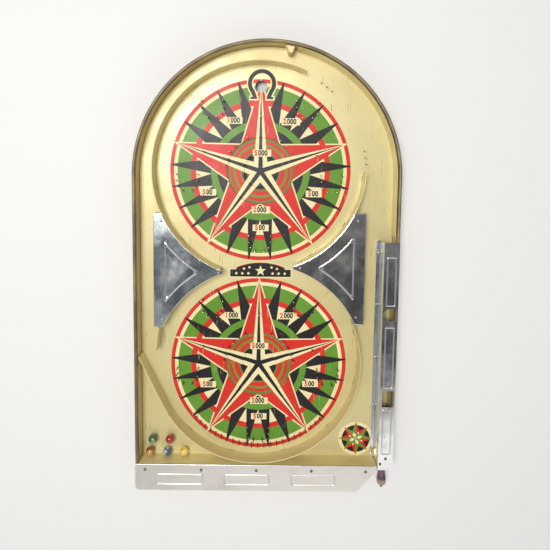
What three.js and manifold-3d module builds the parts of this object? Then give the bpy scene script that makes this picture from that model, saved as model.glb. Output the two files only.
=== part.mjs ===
// A tabletop pin-ball board in pressed tin: tray, playfield, rails, nails, ball lane, plunger and prop stand.
// Millimetres. The board lies on its back: X right, Y toward the arch, Z up out of the playfield.
// The origin is the middle of the foot of the whole object's box.
import * as THREE from 'three';
import { mergeVertices } from 'three/addons/utils/BufferGeometryUtils.js';
import Module from 'manifold-3d';

const wasm = await Module();
wasm.setup();

// Case
const CASE_WIDTH = 356;
const CASE_TOP = 308;
const CASE_BOTTOM = -304.5;
const LANE_END = -272.5;
const CHAMFER_START = 129.5;
const CHAMFER_END = 157.5;
const RIM_HEIGHT = 37;
const BEAD_RADIUS = 2.3;
const WALL = 0.9;
const WALL_INSET = 4.6;
const RETURN_LIP = 4;
const SEAM_Y = 150;
const SEAM_GAP = 0.3;
const CORNER_RADIUS = 6;
const ARCH_STEPS = 40;

// Playfield
const FIELD_Z = 14;
const SHEET = 1;
const GAP = 0.3;
const FIELD_BOTTOM = -267.6;
const CIRCLE_X = -9;
const UPPER_Y = 138;
const LOWER_Y = -133;
const RING_RADIUS = 122.8;
const CUP_RADIUS = 45.4;
const CUP_INNER_RADIUS = 22.5;
const CUP_STEP = 1.3;
const CUP_SLOPE = 0.8;
const CUP_SIDES = 32;
const HOLE_Y = 251;
const HOLE_RADIUS = 8;

// Rails
const RAIL_THICKNESS = 1.6;
const RAIL_TOP = 35.6;
const RAIL_RADIUS = 143;
const J_RAIL_X = -11;
const J_RAIL_Y = -124.5;
const J_RAIL_RADIUS = 141;
const J_RAIL_TANGENT = 206;
const TAB_WIDTH = 6;
const TAB_FOOT_Z = 11.6;
const TAB_REACH = 5;

// Gussets
const GUSSET_HALF_WIDTH = 141.3;
const GUSSET_Z = 36;
const GUSSET_TIP = 1.8;
const GUSSET_STEPS = 10;
const GUSSET_BORDER = 15;
const GUSSET_OVERLAP = 0.6;
const GUSSET_RIVET_X = 130.5;
const GUSSET_TIP_RIVET_X = 54.6;
const GUSSET_RIVET_MARGIN = 10;
const PLATE = 0.8;

// The rail circles above and below each gusset, as [middle Y, radius].
const LEFT_CIRCLES = { above: [UPPER_Y, RAIL_RADIUS], below: [LOWER_Y, RAIL_RADIUS] };
const RIGHT_CIRCLES = { above: [143.5, 140], below: [-127.5, RAIL_RADIUS] };
const GUSSETS = {
  left: { side: -1, top: 80.9, bottom: -73.1, tip: 2.5, panel: [41.5, -36.5], ...LEFT_CIRCLES },
  right: { side: 1, top: 83.7, bottom: -67, tip: 9.5, panel: [49, -31.5], ...RIGHT_CIRCLES },
};

// Ball lane
const LANE_WALL_X = 157.4;
const LANE_TOP = 45;
const LANE_BOTTOM = -268.2;
const LANE_FOOT_X = 152;
const LANE_FOOT_TOP = 42.7;
const COVER_Z = 37.3;
const COVER_EDGE = 177.6;
const FEED_Y = -52.5;
const FEED_RADIUS = 9;
const LANE_CENTRE = 167.8;

// Plunger
const PLUNGER_X = 167.3;
const PLUNGER_Z = 21.4;
const ROD_RADIUS = 2;
const ROD_BORE = ROD_RADIUS + GAP;
const STRIKER_Y = -186;
const COLLAR_Y = -196;
const COLLAR_DEPTH = 1.6;
const BUSH_FACE = -266.6;
const BUSH_BORE = 2.4;
const WALL_HOLE_RADIUS = 3.5;
const KNOB_TOP = -275;
const SPRING_TURNS = 13;
const SPRING_RADIUS = 3.6;
const SPRING_WIRE = 0.5;

// Nails and marbles
const NAIL_RADIUS = 0.8;
const NAIL_TOP = 26;
const NAIL_SIDES = 4;
const COMB_STRIP = 1;
const POCKET_RADIUS = 14.6;
const POCKET_LIP = 8.5;
const GUARD_RADIUS = CUP_RADIUS + 3;
const MARBLE_RADIUS = 6.25;

// Prop stand
const STAND_HINGE_Y = 196;
const STAND_HINGE_Z = 6;
const STAND_WIRE = 2;
const STAND_HALF_WIDTH = 78;
const STAND_LENGTH = 128;
const STAND_END = 104;
const STAND_CLIP_X = 96;
const STAND_BEND = 12;
const STAND_STEPS = 56;

// Fasteners
const RIVET_HOLE = 1.5;
const RIVET_SHANK = 1.1;
const SCREW_LENGTH = 6;
const PRESSED = 0.8;

const ARC_STEP = 6;
const ARCH_Y = CASE_TOP - CASE_WIDTH / 2;
const UNDER_FIELD = FIELD_Z - SHEET - GAP;

const deg = THREE.MathUtils.degToRad;

// ---------- helpers ----------

function toSolid(geometry) {
  const bare = geometry.clone();
  bare.deleteAttribute('normal');
  bare.deleteAttribute('uv');
  const merged = mergeVertices(bare, 1e-4);
  return new wasm.Manifold(new wasm.Mesh({
    numProp: 3,
    vertProperties: new Float32Array(merged.attributes.position.array),
    triVerts: new Uint32Array(merged.index.array),
  }));
}

function toGeometry(solid) {
  const mesh = solid.getMesh();
  const geometry = new THREE.BufferGeometry();
  geometry.setAttribute('position', new THREE.BufferAttribute(new Float32Array(mesh.vertProperties), 3));
  geometry.setIndex(new THREE.BufferAttribute(new Uint32Array(mesh.triVerts), 1));
  geometry.computeVertexNormals();
  return geometry;
}

const join = (solids) => solids.reduce((sum, solid) => sum.add(solid));
const cut = (solid, tools) => tools.reduce((rest, tool) => rest.subtract(tool), solid);

function box(x0, x1, y0, y1, z0, z1) {
  const geometry = new THREE.BoxGeometry(x1 - x0, y1 - y0, z1 - z0);
  geometry.translate((x0 + x1) / 2, (y0 + y1) / 2, (z0 + z1) / 2);
  return toSolid(geometry);
}

function prism(points, z0, z1) {
  const sweep = { depth: z1 - z0, bevelEnabled: false };
  const geometry = new THREE.ExtrudeGeometry(new THREE.Shape(points), sweep);
  geometry.translate(0, 0, z0);
  return toSolid(geometry);
}

// A cylinder standing on Z, or lying along Y when alongY is set.
function rod(x, y, z, radius, length, sides = 12, alongY = false) {
  const geometry = new THREE.CylinderGeometry(radius, radius, length, sides);
  if (!alongY) geometry.rotateX(Math.PI / 2);
  geometry.translate(x, y, z);
  return toSolid(geometry);
}

// A turned piece: profile pairs are [radius, height]; the axis is Z, or -Y when alongY is set.
function turned(profile, sides, x, y, z, alongY = false) {
  const geometry = new THREE.LatheGeometry(profile.map(([r, h]) => new THREE.Vector2(r, h)), sides);
  if (alongY) geometry.rotateX(Math.PI);
  else geometry.rotateX(Math.PI / 2);
  geometry.translate(x, y, z);
  return toSolid(geometry);
}

function arcPoints(x, y, radius, from, to, steps) {
  return Array.from({ length: steps + 1 }, (_, i) => {
    const angle = deg(from + (to - from) * i / steps);
    return new THREE.Vector2(x + radius * Math.cos(angle), y + radius * Math.sin(angle));
  });
}

function onArc(x, y, radius, angle) {
  return { x: x + radius * Math.cos(deg(angle)), y: y + radius * Math.sin(deg(angle)), angle };
}

// A wall standing on an arc.
function arcStrip(x, y, radius, from, to, thickness, z0, z1) {
  const steps = Math.ceil(Math.abs(to - from) / ARC_STEP);
  const outer = arcPoints(x, y, radius + thickness / 2, from, to, steps);
  const inner = arcPoints(x, y, radius - thickness / 2, to, from, steps);
  return prism([...outer, ...inner], z0, z1);
}

// A wall standing on the straight line from a to b.
function lineStrip(a, b, thickness, z0, z1) {
  const along = b.clone().sub(a).normalize();
  const side = new THREE.Vector2(-along.y, along.x).multiplyScalar(thickness / 2);
  const corners = [a.clone().sub(side), b.clone().sub(side), b.clone().add(side), a.clone().add(side)];
  return prism(corners, z0, z1);
}

function part(name, solid, finish) {
  const mesh = new THREE.Mesh(toGeometry(solid), new THREE.MeshStandardMaterial(finish));
  mesh.name = name;
  return mesh;
}

const GOLD = { color: 0xdccc8e, roughness: 0.4, metalness: 0.45 };
const BRONZE = { color: 0xa2844c, roughness: 0.4, metalness: 0.5 };
const TIN = { color: 0xb4b6b6, roughness: 0.28, metalness: 0.95 };
const SATIN_TIN = { color: 0xd2cabc, roughness: 0.42, metalness: 0.8 };
const STEEL = { color: 0x8f8d88, roughness: 0.35, metalness: 0.95 };
const NAIL = { color: 0x9a8f72, roughness: 0.35, metalness: 0.9 };
const KNOB = { color: 0x5e4a58, roughness: 0.35, metalness: 0.05 };

// ---------- case ----------

function fillet(points, corner, inward, outward, reach, steps = 3) {
  const start = corner.clone().addScaledVector(inward, -reach);
  const end = corner.clone().addScaledVector(outward, reach);
  points.push(...new THREE.QuadraticBezierCurve(start, corner, end).getPoints(steps));
}

const FIELD_TAB = {
  halfWidth: 7,
  reach: 3.3,
  drop: 7,
  weld: 0.3,
  sideY: [90, -30, -150, -235],
  crownAngles: [30, 65, 115, 150],
};

// The rim's outline, moved inward by inset; every inset has the same number of points.
function caseOutline(inset) {
  const half = CASE_WIDTH / 2 - inset;
  const slant = new THREE.Vector2(CHAMFER_END - CHAMFER_START, LANE_END - CASE_BOTTOM).normalize();
  const slip = inset * (1 - slant.x) / slant.y;
  const east = new THREE.Vector2(1, 0);
  const north = new THREE.Vector2(0, 1);
  const south = new THREE.Vector2(0, -1);
  const convex = Math.max(CORNER_RADIUS - inset, PRESSED);
  const points = [];
  fillet(points, new THREE.Vector2(-half, CASE_BOTTOM + inset), south, east, convex);
  fillet(points, new THREE.Vector2(CHAMFER_START - slip, CASE_BOTTOM + inset), east, slant, convex);
  fillet(points, new THREE.Vector2(CHAMFER_END - slip, LANE_END + inset), slant, east, 1 + inset / 2);
  fillet(points, new THREE.Vector2(half, LANE_END + inset), east, north, convex);
  points.push(...arcPoints(0, ARCH_Y, half, 0, 180, ARCH_STEPS));
  return points;
}

// A closed band that follows the rim: profile pairs are [inset, z].
function rimBand(profile) {
  const rings = profile.map(([inset, z]) => caseOutline(inset).map((p) => [p.x, p.y, z]));
  const around = rings[0].length;
  const index = [];
  rings.forEach((ring, i) => {
    const next = (i + 1) % rings.length;
    for (let j = 0; j < around; j += 1) {
      const k = (j + 1) % around;
      const [a, b, c, d] = [i * around + j, i * around + k, next * around + k, next * around + j];
      index.push(a, b, c, a, c, d);
    }
  });
  const geometry = new THREE.BufferGeometry();
  geometry.setAttribute('position', new THREE.Float32BufferAttribute(rings.flat(2), 3));
  geometry.setIndex(index);
  return toSolid(geometry);
}

// Small angle tabs welded inside the band, which the playfield rests on.
function fieldTab(x, y, angle) {
  const span = [-FIELD_TAB.halfWidth, FIELD_TAB.halfWidth];
  const upright = box(-PLATE, 0, ...span, UNDER_FIELD - FIELD_TAB.drop, UNDER_FIELD);
  const shelf = box(-FIELD_TAB.reach, 0, ...span, UNDER_FIELD - PLATE, UNDER_FIELD);
  return upright.add(shelf).rotate([0, 0, angle]).translate([x, y, 0]);
}

function fieldTabs() {
  const half = CASE_WIDTH / 2 - WALL_INSET + FIELD_TAB.weld;
  const crownRadius = half - FIELD_TAB.weld / 3;
  const sides = FIELD_TAB.sideY.flatMap((y) => [fieldTab(half, y, 0), fieldTab(-half, y, 180)]);
  const crown = FIELD_TAB.crownAngles.map((angle) => {
    const place = onArc(0, ARCH_Y, crownRadius, angle);
    return fieldTab(place.x, place.y, angle);
  });
  return [...sides, ...crown];
}

// The side band: a foot lip turned inward, a plain wall and a bead rolled outward along the top.
// It comes in three lengths that butt at seams: the foot with the sides, and the two halves of the arch.
function caseBands() {
  const centre = RIM_HEIGHT - BEAD_RADIUS;
  const bead = [0, 45, 90, 135, 180, 225, 270].map((angle) => [
    BEAD_RADIUS + BEAD_RADIUS * Math.cos(deg(angle)),
    centre + BEAD_RADIUS * Math.sin(deg(angle)),
  ]);
  const profile = [
    [WALL_INSET + RETURN_LIP, 0],
    [WALL_INSET + RETURN_LIP, WALL],
    [WALL_INSET, WALL],
    ...bead,
    [WALL_INSET - WALL, centre - BEAD_RADIUS],
    [WALL_INSET - WALL, 0],
  ];
  const rodHole = rod(PLUNGER_X, LANE_END, PLUNGER_Z, WALL_HOLE_RADIUS, 20, 12, true);
  const band = join([rimBand(profile.reverse()), ...fieldTabs()]).subtract(rodHole);
  const half = SEAM_GAP / 2;
  const lengths = {
    case_band: [-CASE_WIDTH, CASE_WIDTH, -CASE_WIDTH, SEAM_Y - half],
    case_arch_left: [-CASE_WIDTH, -half, SEAM_Y + half, 2 * CASE_WIDTH],
    case_arch_right: [half, CASE_WIDTH, SEAM_Y + half, 2 * CASE_WIDTH],
  };
  return Object.entries(lengths).map(([name, span]) => {
    const length = band.intersect(box(...span, -WALL, RIM_HEIGHT + WALL));
    return part(name, length, BRONZE);
  });
}

// ---------- rails ----------

// Where the bent tabs of each arc rail pass through the playfield, in degrees around its circle.
const RAIL_TABS = {
  upperLeft: [70, 98, 128, 158, 190, 222],
  upperRight: [-6, -34, -60],
  gussetLeft: [122, 148],
  gussetRight: [32, 58],
  jRail: [16, -14, -44, -74, -104, -132],
};

const TAB_PLACES = {
  upperLeft: RAIL_TABS.upperLeft.map((a) => onArc(CIRCLE_X, UPPER_Y, RAIL_RADIUS, a)),
  upperRight: RAIL_TABS.upperRight.map((a) => onArc(CIRCLE_X, ...RIGHT_CIRCLES.above, a)),
  gussetLeft: RAIL_TABS.gussetLeft.map((a) => onArc(CIRCLE_X, LOWER_Y, RAIL_RADIUS, a)),
  gussetRight: RAIL_TABS.gussetRight.map((a) => onArc(CIRCLE_X, ...RIGHT_CIRCLES.below, a)),
  jRail: RAIL_TABS.jRail.map((a) => onArc(J_RAIL_X, J_RAIL_Y, J_RAIL_RADIUS, a)),
};

// A tab that goes down through the sheet and is bent over under it.
function bentTab({ x, y, angle }) {
  const [half, wide] = [RAIL_THICKNESS / 2, TAB_WIDTH / 2];
  const leg = box(-half, half, -wide, wide, TAB_FOOT_Z, FIELD_Z + 2);
  const foot = box(-half, TAB_REACH - half, -wide, wide, TAB_FOOT_Z, TAB_FOOT_Z + PLATE);
  return leg.add(foot).rotate([0, 0, angle]).translate([x, y, 0]);
}

function tabSlot({ x, y, angle }) {
  const slot = new THREE.BoxGeometry(RAIL_THICKNESS + 2 * GAP, TAB_WIDTH + 2 * GAP, 8);
  return toSolid(slot).rotate([0, 0, angle]).translate([x, y, FIELD_Z]);
}

// A rail around one of the printed circles, given as [middle Y, radius], between two angles.
function circleRail(name, circle, from, to, places) {
  const strip = arcStrip(CIRCLE_X, ...circle, from, to, RAIL_THICKNESS, FIELD_Z + GAP, RAIL_TOP);
  return part(name, join([strip, ...places.map(bentTab)]), GOLD);
}

const SHORT_RAIL = [new THREE.Vector2(-144.6, -74.5), new THREE.Vector2(-148.5, -108)];

function shortRailTab() {
  const middle = SHORT_RAIL[0].clone().lerp(SHORT_RAIL[1], 0.5);
  const along = SHORT_RAIL[1].clone().sub(SHORT_RAIL[0]);
  return { x: middle.x, y: middle.y, angle: THREE.MathUtils.radToDeg(along.angle()) - 90 };
}

function lowerLeftRail() {
  const strip = lineStrip(SHORT_RAIL[0], SHORT_RAIL[1], RAIL_THICKNESS, FIELD_Z + GAP, RAIL_TOP);
  return part('lower_left_rail', strip.add(bentTab(shortRailTab())), GOLD);
}

// The long rail: a diagonal from the left wall that runs into an arc around the lower circle.
function lowerRail() {
  const arc = arcStrip(J_RAIL_X, J_RAIL_Y, J_RAIL_RADIUS, J_RAIL_TANGENT - 360, 24, RAIL_THICKNESS,
    FIELD_Z + GAP, RAIL_TOP);
  const touch = onArc(J_RAIL_X, J_RAIL_Y, J_RAIL_RADIUS, J_RAIL_TANGENT);
  const tangent = deg(J_RAIL_TANGENT);
  const start = new THREE.Vector2(touch.x, touch.y);
  const climb = new THREE.Vector2(Math.sin(tangent), -Math.cos(tangent));
  const wallX = -CASE_WIDTH / 2 + WALL_INSET + RAIL_THICKNESS;
  const end = start.clone().addScaledVector(climb, (wallX - start.x) / climb.x);
  start.addScaledVector(climb, -1);
  const diagonal = lineStrip(start, end, RAIL_THICKNESS, FIELD_Z + GAP, RAIL_TOP);
  return part('lower_rail', join([arc, diagonal, ...TAB_PLACES.jRail.map(bentTab)]), GOLD);
}

// ---------- playfield ----------

const FOOT_RIVETS = [28, -45, -121, -190, -254].map((y) => ({ x: 154.4, y }));
const GUSSET_RIVETS = Object.entries(GUSSETS).flatMap(([word, { side, top, bottom, tip }]) => {
  const x = CIRCLE_X + side * GUSSET_RIVET_X;
  return [
    { name: `${word}_gusset_rivet_top`, side, x, y: top - GUSSET_RIVET_MARGIN },
    { name: `${word}_gusset_rivet_bottom`, side, x, y: bottom + GUSSET_RIVET_MARGIN },
    { name: `${word}_gusset_rivet_tip`, side, x: CIRCLE_X + side * GUSSET_TIP_RIVET_X, y: tip },
  ];
});

// A round recess pressed down in two steps, with sloping sides.
function cup(y) {
  const [firstStep, secondStep] = [FIELD_Z - CUP_STEP, FIELD_Z - 2 * CUP_STEP];
  const edge = CUP_RADIUS + CUP_SLOPE + 0.4;
  const profile = [
    [0, secondStep - SHEET],
    [CUP_INNER_RADIUS + 0.4, secondStep - SHEET],
    [CUP_INNER_RADIUS + CUP_SLOPE + 0.4, firstStep - SHEET],
    [CUP_RADIUS + 0.2, firstStep - SHEET],
    [edge, FIELD_Z - SHEET],
    [edge, FIELD_Z],
    [CUP_RADIUS, FIELD_Z],
    [CUP_RADIUS - CUP_SLOPE, firstStep],
    [CUP_INNER_RADIUS, firstStep],
    [CUP_INNER_RADIUS - CUP_SLOPE, secondStep],
    [0, secondStep],
  ];
  return turned(profile, CUP_SIDES, CIRCLE_X, y, 0);
}

const FIELD_HALF = CASE_WIDTH / 2 - WALL_INSET - GAP;

function fieldOutline() {
  const clipped = 1.5;
  const base = [
    new THREE.Vector2(-FIELD_HALF, FIELD_BOTTOM),
    new THREE.Vector2(FIELD_HALF - clipped, FIELD_BOTTOM),
    new THREE.Vector2(FIELD_HALF, FIELD_BOTTOM + clipped),
  ];
  return [...base, ...arcPoints(0, ARCH_Y, FIELD_HALF, 0, 180, ARCH_STEPS)];
}

// The sheet, pressed with two cups, turned up along its foot and pierced for everything fixed to it.
function playfield() {
  const plate = prism(fieldOutline(), FIELD_Z - SHEET, FIELD_Z);
  const upturnEnd = LANE_WALL_X - PLATE - 2 * GAP;
  const upturnTop = RIM_HEIGHT - GAP;
  const upturn = box(-FIELD_HALF, upturnEnd, FIELD_BOTTOM, FIELD_BOTTOM + PLATE, FIELD_Z - SHEET, upturnTop);
  const pinHoles = PIN_COMBS.flatMap((comb) => comb.pins);
  const fieldHole = (x, y, radius, sides) => rod(x, y, FIELD_Z, radius, 6, sides);
  const openings = [
    fieldHole(CIRCLE_X, UPPER_Y, CUP_RADIUS + CUP_SLOPE / 2, CUP_SIDES),
    fieldHole(CIRCLE_X, LOWER_Y, CUP_RADIUS + CUP_SLOPE / 2, CUP_SIDES),
    fieldHole(CIRCLE_X, HOLE_Y, HOLE_RADIUS, 20),
    ...Object.values(TAB_PLACES).flat().map(tabSlot),
    tabSlot(shortRailTab()),
    ...FOOT_RIVETS.map(({ x, y }) => fieldHole(x, y, RIVET_HOLE + 0.2, 8)),
    ...GUSSET_RIVETS.map(({ x, y }) => fieldHole(x, y, RIVET_HOLE, 8)),
    ...pinHoles.map(([x, y]) => fieldHole(x, y, NAIL_RADIUS * 2, NAIL_SIDES)),
  ];
  return part('playfield', join([cut(plate, openings), cup(UPPER_Y), cup(LOWER_Y), upturn]), GOLD);
}

// ---------- runway liner ----------

const LINER_INSET = 5.8;
const LINER_START = 51.5;
const LINER_END = 77;
const LINER_TOP = RIM_HEIGHT - 2.5;

// A plain strip inside the case wall, from above the lane round to the rebound stop.
function runwayLiner() {
  const radius = CASE_WIDTH / 2 - LINER_INSET;
  const [inner, outer] = [radius - PLATE / 2, radius + PLATE / 2];
  const straight = box(inner, outer, LINER_START, ARCH_Y, FIELD_Z + GAP, LINER_TOP);
  const arc = arcStrip(0, ARCH_Y, radius, -0.2, LINER_END, PLATE, FIELD_Z + GAP, LINER_TOP);
  return part('runway_liner', straight.add(arc), GOLD);
}

const STOP_TOP = RIM_HEIGHT - 4;

// The folded stop at the runway's end, which turns the ball down into the field.
function reboundStop() {
  const angle = LINER_END + 3.4;
  const place = onArc(0, ARCH_Y, CASE_WIDTH / 2 - WALL_INSET - 0.4, angle);
  const outline = [
    [0, -5.5], [-1.2, -6.2], [-8.5, -4.6], [-10.2, -1.5], [-9.4, 1.2], [-6.5, 2.4], [-2.4, 4.6], [0, 7.5],
  ].map(([x, y]) => new THREE.Vector2(x, y));
  const stop = prism(outline, FIELD_Z + GAP, STOP_TOP);
  return part('rebound_stop', stop.rotate([0, 0, angle]).translate([place.x, place.y, 0]), BRONZE);
}

// ---------- gussets ----------

// A triangle with a straight side and two hollow sides that follow the circles, shrink outside the rails.
function gussetOutline({ side, tip, above, below }, shrink, top, bottom) {
  const straightX = GUSSET_HALF_WIDTH - shrink;
  const hollow = ([circleY, railRadius], from, to) => {
    const radius = railRadius - GUSSET_OVERLAP + shrink;
    const angleAt = (y) => THREE.MathUtils.radToDeg(Math.asin((y - circleY) / radius));
    return arcPoints(0, circleY, radius, angleAt(from), angleAt(to), GUSSET_STEPS);
  };
  const points = [
    new THREE.Vector2(straightX, bottom),
    new THREE.Vector2(straightX, top),
    ...hollow(above, top, tip + GUSSET_TIP),
    ...hollow(below, tip - GUSSET_TIP, bottom),
  ].map((p) => new THREE.Vector2(CIRCLE_X + side * p.x, p.y));
  return side < 0 ? points : points.reverse();
}

// A tin plate bridging the two circles, with a skirt down its straight side and a pressed triangle on top.
function gusset(name, shape) {
  const { side, top, bottom } = shape;
  const plateTop = GUSSET_Z + PLATE;
  const plate = prism(gussetOutline(shape, 0, top, bottom), GUSSET_Z, plateTop);
  const panel = prism(gussetOutline(shape, GUSSET_BORDER, ...shape.panel), GUSSET_Z, plateTop + PRESSED);
  const edges = [CIRCLE_X + side * GUSSET_HALF_WIDTH, CIRCLE_X + side * (GUSSET_HALF_WIDTH - PLATE)];
  const skirt = box(Math.min(...edges), Math.max(...edges), bottom, top, FIELD_Z + GAP, plateTop);
  const rivets = GUSSET_RIVETS.filter((rivet) => rivet.side === side);
  const holes = rivets.map(({ x, y }) => rod(x, y, GUSSET_Z, RIVET_HOLE, 8, 8));
  return part(name, cut(join([plate, panel, skirt]), holes), TIN);
}

// A shouldered rivet that holds a gusset up off the playfield.
function gussetRivet({ name, x, y }) {
  const head = GUSSET_Z + PLATE + GAP;
  const [low, high] = [FIELD_Z + GAP, GUSSET_Z - GAP];
  const tail = [[0, UNDER_FIELD - 1], [2, UNDER_FIELD - 1], [2, UNDER_FIELD], [RIVET_SHANK, UNDER_FIELD]];
  const shoulder = [[RIVET_SHANK, low], [2.1, low], [2.1, high], [RIVET_SHANK, high]];
  const dome = [[RIVET_SHANK, head], [1.9, head], [1.6, head + 0.8], [0, head + 1.2]];
  return part(name, turned([...tail, ...shoulder, ...dome], 10, x, y, 0), STEEL);
}

// ---------- ball lane ----------

const COVER_PANELS = [[-41.4, 26.2], [-155.4, -69.1], [-249.7, -184.5]];
const PANEL_X = [160.8, 174.4];
const WINDOW_X = [160.2, 176];
const WINDOW_Y = [-181.6, -158.6];
const COVER_LAP = 3.6;
const COVER_SCREWS = [{ x: 167.6, y: -255.4 }, { x: 160.4, y: -263 }];

// A rivet headed over the lane foot, part of the cover once it is closed.
function footRivet({ x, y }) {
  const foot = FIELD_Z + GAP + PLATE / 2;
  const tail = [[0, UNDER_FIELD - 0.8], [2, UNDER_FIELD - 0.8], [2, UNDER_FIELD], [1.2, UNDER_FIELD]];
  const dome = [[1.2, foot], [1.8, foot], [1.8, foot + 0.7], [1.1, foot + 1.3], [0, foot + 1.5]];
  return turned([...tail, ...dome], 8, x, y, 0);
}

// The cover: a foot riveted to the playfield, a wall beside the lane and a top that rests on the rim.
function laneCover() {
  const coverTop = COVER_Z + PLATE;
  const sheetX = LANE_WALL_X - PLATE;
  const footY = LANE_BOTTOM + 2;
  const foot = box(LANE_FOOT_X, LANE_WALL_X, footY, LANE_FOOT_TOP, FIELD_Z + GAP, FIELD_Z + GAP + PLATE);
  const wall = box(sheetX, LANE_WALL_X, footY, LANE_TOP, FIELD_Z + GAP, coverTop);
  const top = box(sheetX, COVER_EDGE, LANE_BOTTOM - COVER_LAP, LANE_TOP, COVER_Z, coverTop);
  const panels = COVER_PANELS.map(([y0, y1]) => box(...PANEL_X, y0, y1, COVER_Z, coverTop + PRESSED));
  const openings = [
    rod(LANE_CENTRE, FEED_Y, COVER_Z, FEED_RADIUS, 8, 24),
    box(...WINDOW_X, ...WINDOW_Y, COVER_Z - 3, coverTop + 4),
    ...COVER_SCREWS.map(({ x, y }) => rod(x, y, COVER_Z, RIVET_HOLE, 8, 8)),
  ];
  const sheet = cut(join([foot, wall, top, ...panels]), openings);
  return part('lane_cover', join([sheet, ...FOOT_RIVETS.map(footRivet)]), TIN);
}

// A small domed screw whose head sits on a plate in COVER_Z.
function coverScrew(name, { x, y }) {
  const seat = COVER_Z + PLATE + GAP;
  const shank = [[0, seat - SCREW_LENGTH], [RIVET_SHANK, seat - SCREW_LENGTH + 1], [RIVET_SHANK, seat]];
  const head = [[2, seat], [1.8, seat + 0.7], [1, seat + 1], [0, seat + 1]];
  return part(name, turned([...shank, ...head], 10, x, y, 0), STEEL);
}

// ---------- apron ----------

const APRON_SCREWS = [-164, -86.5, -10.3, 65.8, 140.7].map((x) => ({ x, y: -274.5 }));
const APRON_PANELS = [[-149.6, -83.4], [-55.5, 8.4], [37.4, 99.3]];
const APRON_PANEL_Y = [-296.5, -280.2];
const APRON_FRONT = -266.2;
const APRON_INSET = 0.4;
const APRON_END_X = LANE_WALL_X - 1.3;
const LIP_RADIUS = 0.9;
const LIP_LENGTH = 332.4;
const BRACKET = { x: [-168, 145], depth: 11, foot: 20, top: 36.2 };

// The plate over the foot of the case, with a rolled lip toward the playfield.
function apron() {
  const left = -CASE_WIDTH / 2 + APRON_INSET;
  const outline = [
    ...caseOutline(APRON_INSET).slice(0, 8),
    new THREE.Vector2(APRON_END_X, LANE_END + APRON_INSET),
    new THREE.Vector2(APRON_END_X, APRON_FRONT),
    new THREE.Vector2(left, APRON_FRONT),
  ].filter((p) => p.x <= APRON_END_X);
  const plateTop = COVER_Z + PLATE;
  const plate = prism(outline, COVER_Z, plateTop);
  const lip = toSolid(new THREE.CylinderGeometry(LIP_RADIUS, LIP_RADIUS, LIP_LENGTH, 8).rotateZ(Math.PI / 2))
    .translate([left + 0.5 + LIP_LENGTH / 2, APRON_FRONT - LIP_RADIUS, plateTop]);
  const panels = APRON_PANELS.map((spanX) => box(...spanX, ...APRON_PANEL_Y, COVER_Z, plateTop + PRESSED));
  const holes = APRON_SCREWS.map(({ x, y }) => rod(x, y, COVER_Z, RIVET_HOLE, 8, 8));
  return part('apron', cut(join([plate, lip, ...panels]), holes), SATIN_TIN);
}

// An angle behind the playfield's upturn that the apron screws bite into.
function apronBracket() {
  const back = FIELD_BOTTOM - GAP;
  const leg = box(...BRACKET.x, back - PLATE, back, BRACKET.foot, BRACKET.top);
  const shelf = box(...BRACKET.x, back - BRACKET.depth, back, BRACKET.top - PLATE, BRACKET.top);
  const holes = APRON_SCREWS.map(({ x, y }) => rod(x, y, BRACKET.top, RIVET_HOLE, 8, 8));
  return part('apron_bracket', cut(leg.add(shelf), holes), STEEL);
}

// ---------- plunger ----------

function plungerRod() {
  const back = KNOB_TOP - 14;
  const front = STRIKER_Y - 3.6;
  const bar = rod(PLUNGER_X, (front + back) / 2, PLUNGER_Z, ROD_RADIUS, front - back, 12, true);
  return part('plunger_rod', bar, STEEL);
}

function plungerStriker() {
  const socket = [[ROD_BORE, 5.6], [ROD_BORE, 3.3], [0, 3.3]];
  const profile = [[0, 0], [3.4, 0.4], [4.6, 1.6], [4.6, 5.6], ...socket];
  return part('plunger_striker', turned(profile, 16, PLUNGER_X, STRIKER_Y, PLUNGER_Z, true), STEEL);
}

function plungerCollar() {
  const profile = [[ROD_BORE, 0], [4.6, 0], [4.6, COLLAR_DEPTH], [ROD_BORE, COLLAR_DEPTH], [ROD_BORE, 0]];
  return part('plunger_collar', turned(profile, 16, PLUNGER_X, COLLAR_Y, PLUNGER_Z, true), STEEL);
}

// The bush clamped in the end wall that the rod slides through.
function plungerBush() {
  const length = BUSH_FACE - LANE_END + 0.2;
  const flange = [[BUSH_BORE, 0], [5.4, 0], [5.4, 1], [3.1, 1]];
  const profile = [...flange, [3.1, length], [BUSH_BORE, length], [BUSH_BORE, 0]];
  return part('plunger_bush', turned(profile, 16, PLUNGER_X, BUSH_FACE, PLUNGER_Z, true), STEEL);
}

function plungerNut() {
  const profile = [[3.9, 0], [6, 0], [6, 1.4], [3.9, 1.4], [3.9, 0]];
  const outside = LANE_END + WALL_INSET - WALL - GAP;
  return part('plunger_nut', turned(profile, 6, PLUNGER_X, outside, PLUNGER_Z, true), STEEL);
}

class Coil extends THREE.Curve {
  constructor(length) {
    super();
    this.length = length;
  }

  getPoint(t) {
    const angle = t * SPRING_TURNS * 2 * Math.PI;
    const [x, z] = [SPRING_RADIUS * Math.cos(angle), SPRING_RADIUS * Math.sin(angle)];
    return new THREE.Vector3(x, -t * this.length, z);
  }
}

function plungerSpring() {
  const start = COLLAR_Y - COLLAR_DEPTH - GAP - SPRING_WIRE;
  const end = BUSH_FACE + GAP + SPRING_WIRE;
  const section = new THREE.Shape(arcPoints(0, 0, SPRING_WIRE, 0, 270, 3));
  const sweep = { steps: SPRING_TURNS * 9, extrudePath: new Coil(start - end) };
  const geometry = new THREE.ExtrudeGeometry(section, sweep);
  geometry.translate(PLUNGER_X, start, PLUNGER_Z);
  return part('plunger_spring', toSolid(geometry), STEEL);
}

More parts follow.
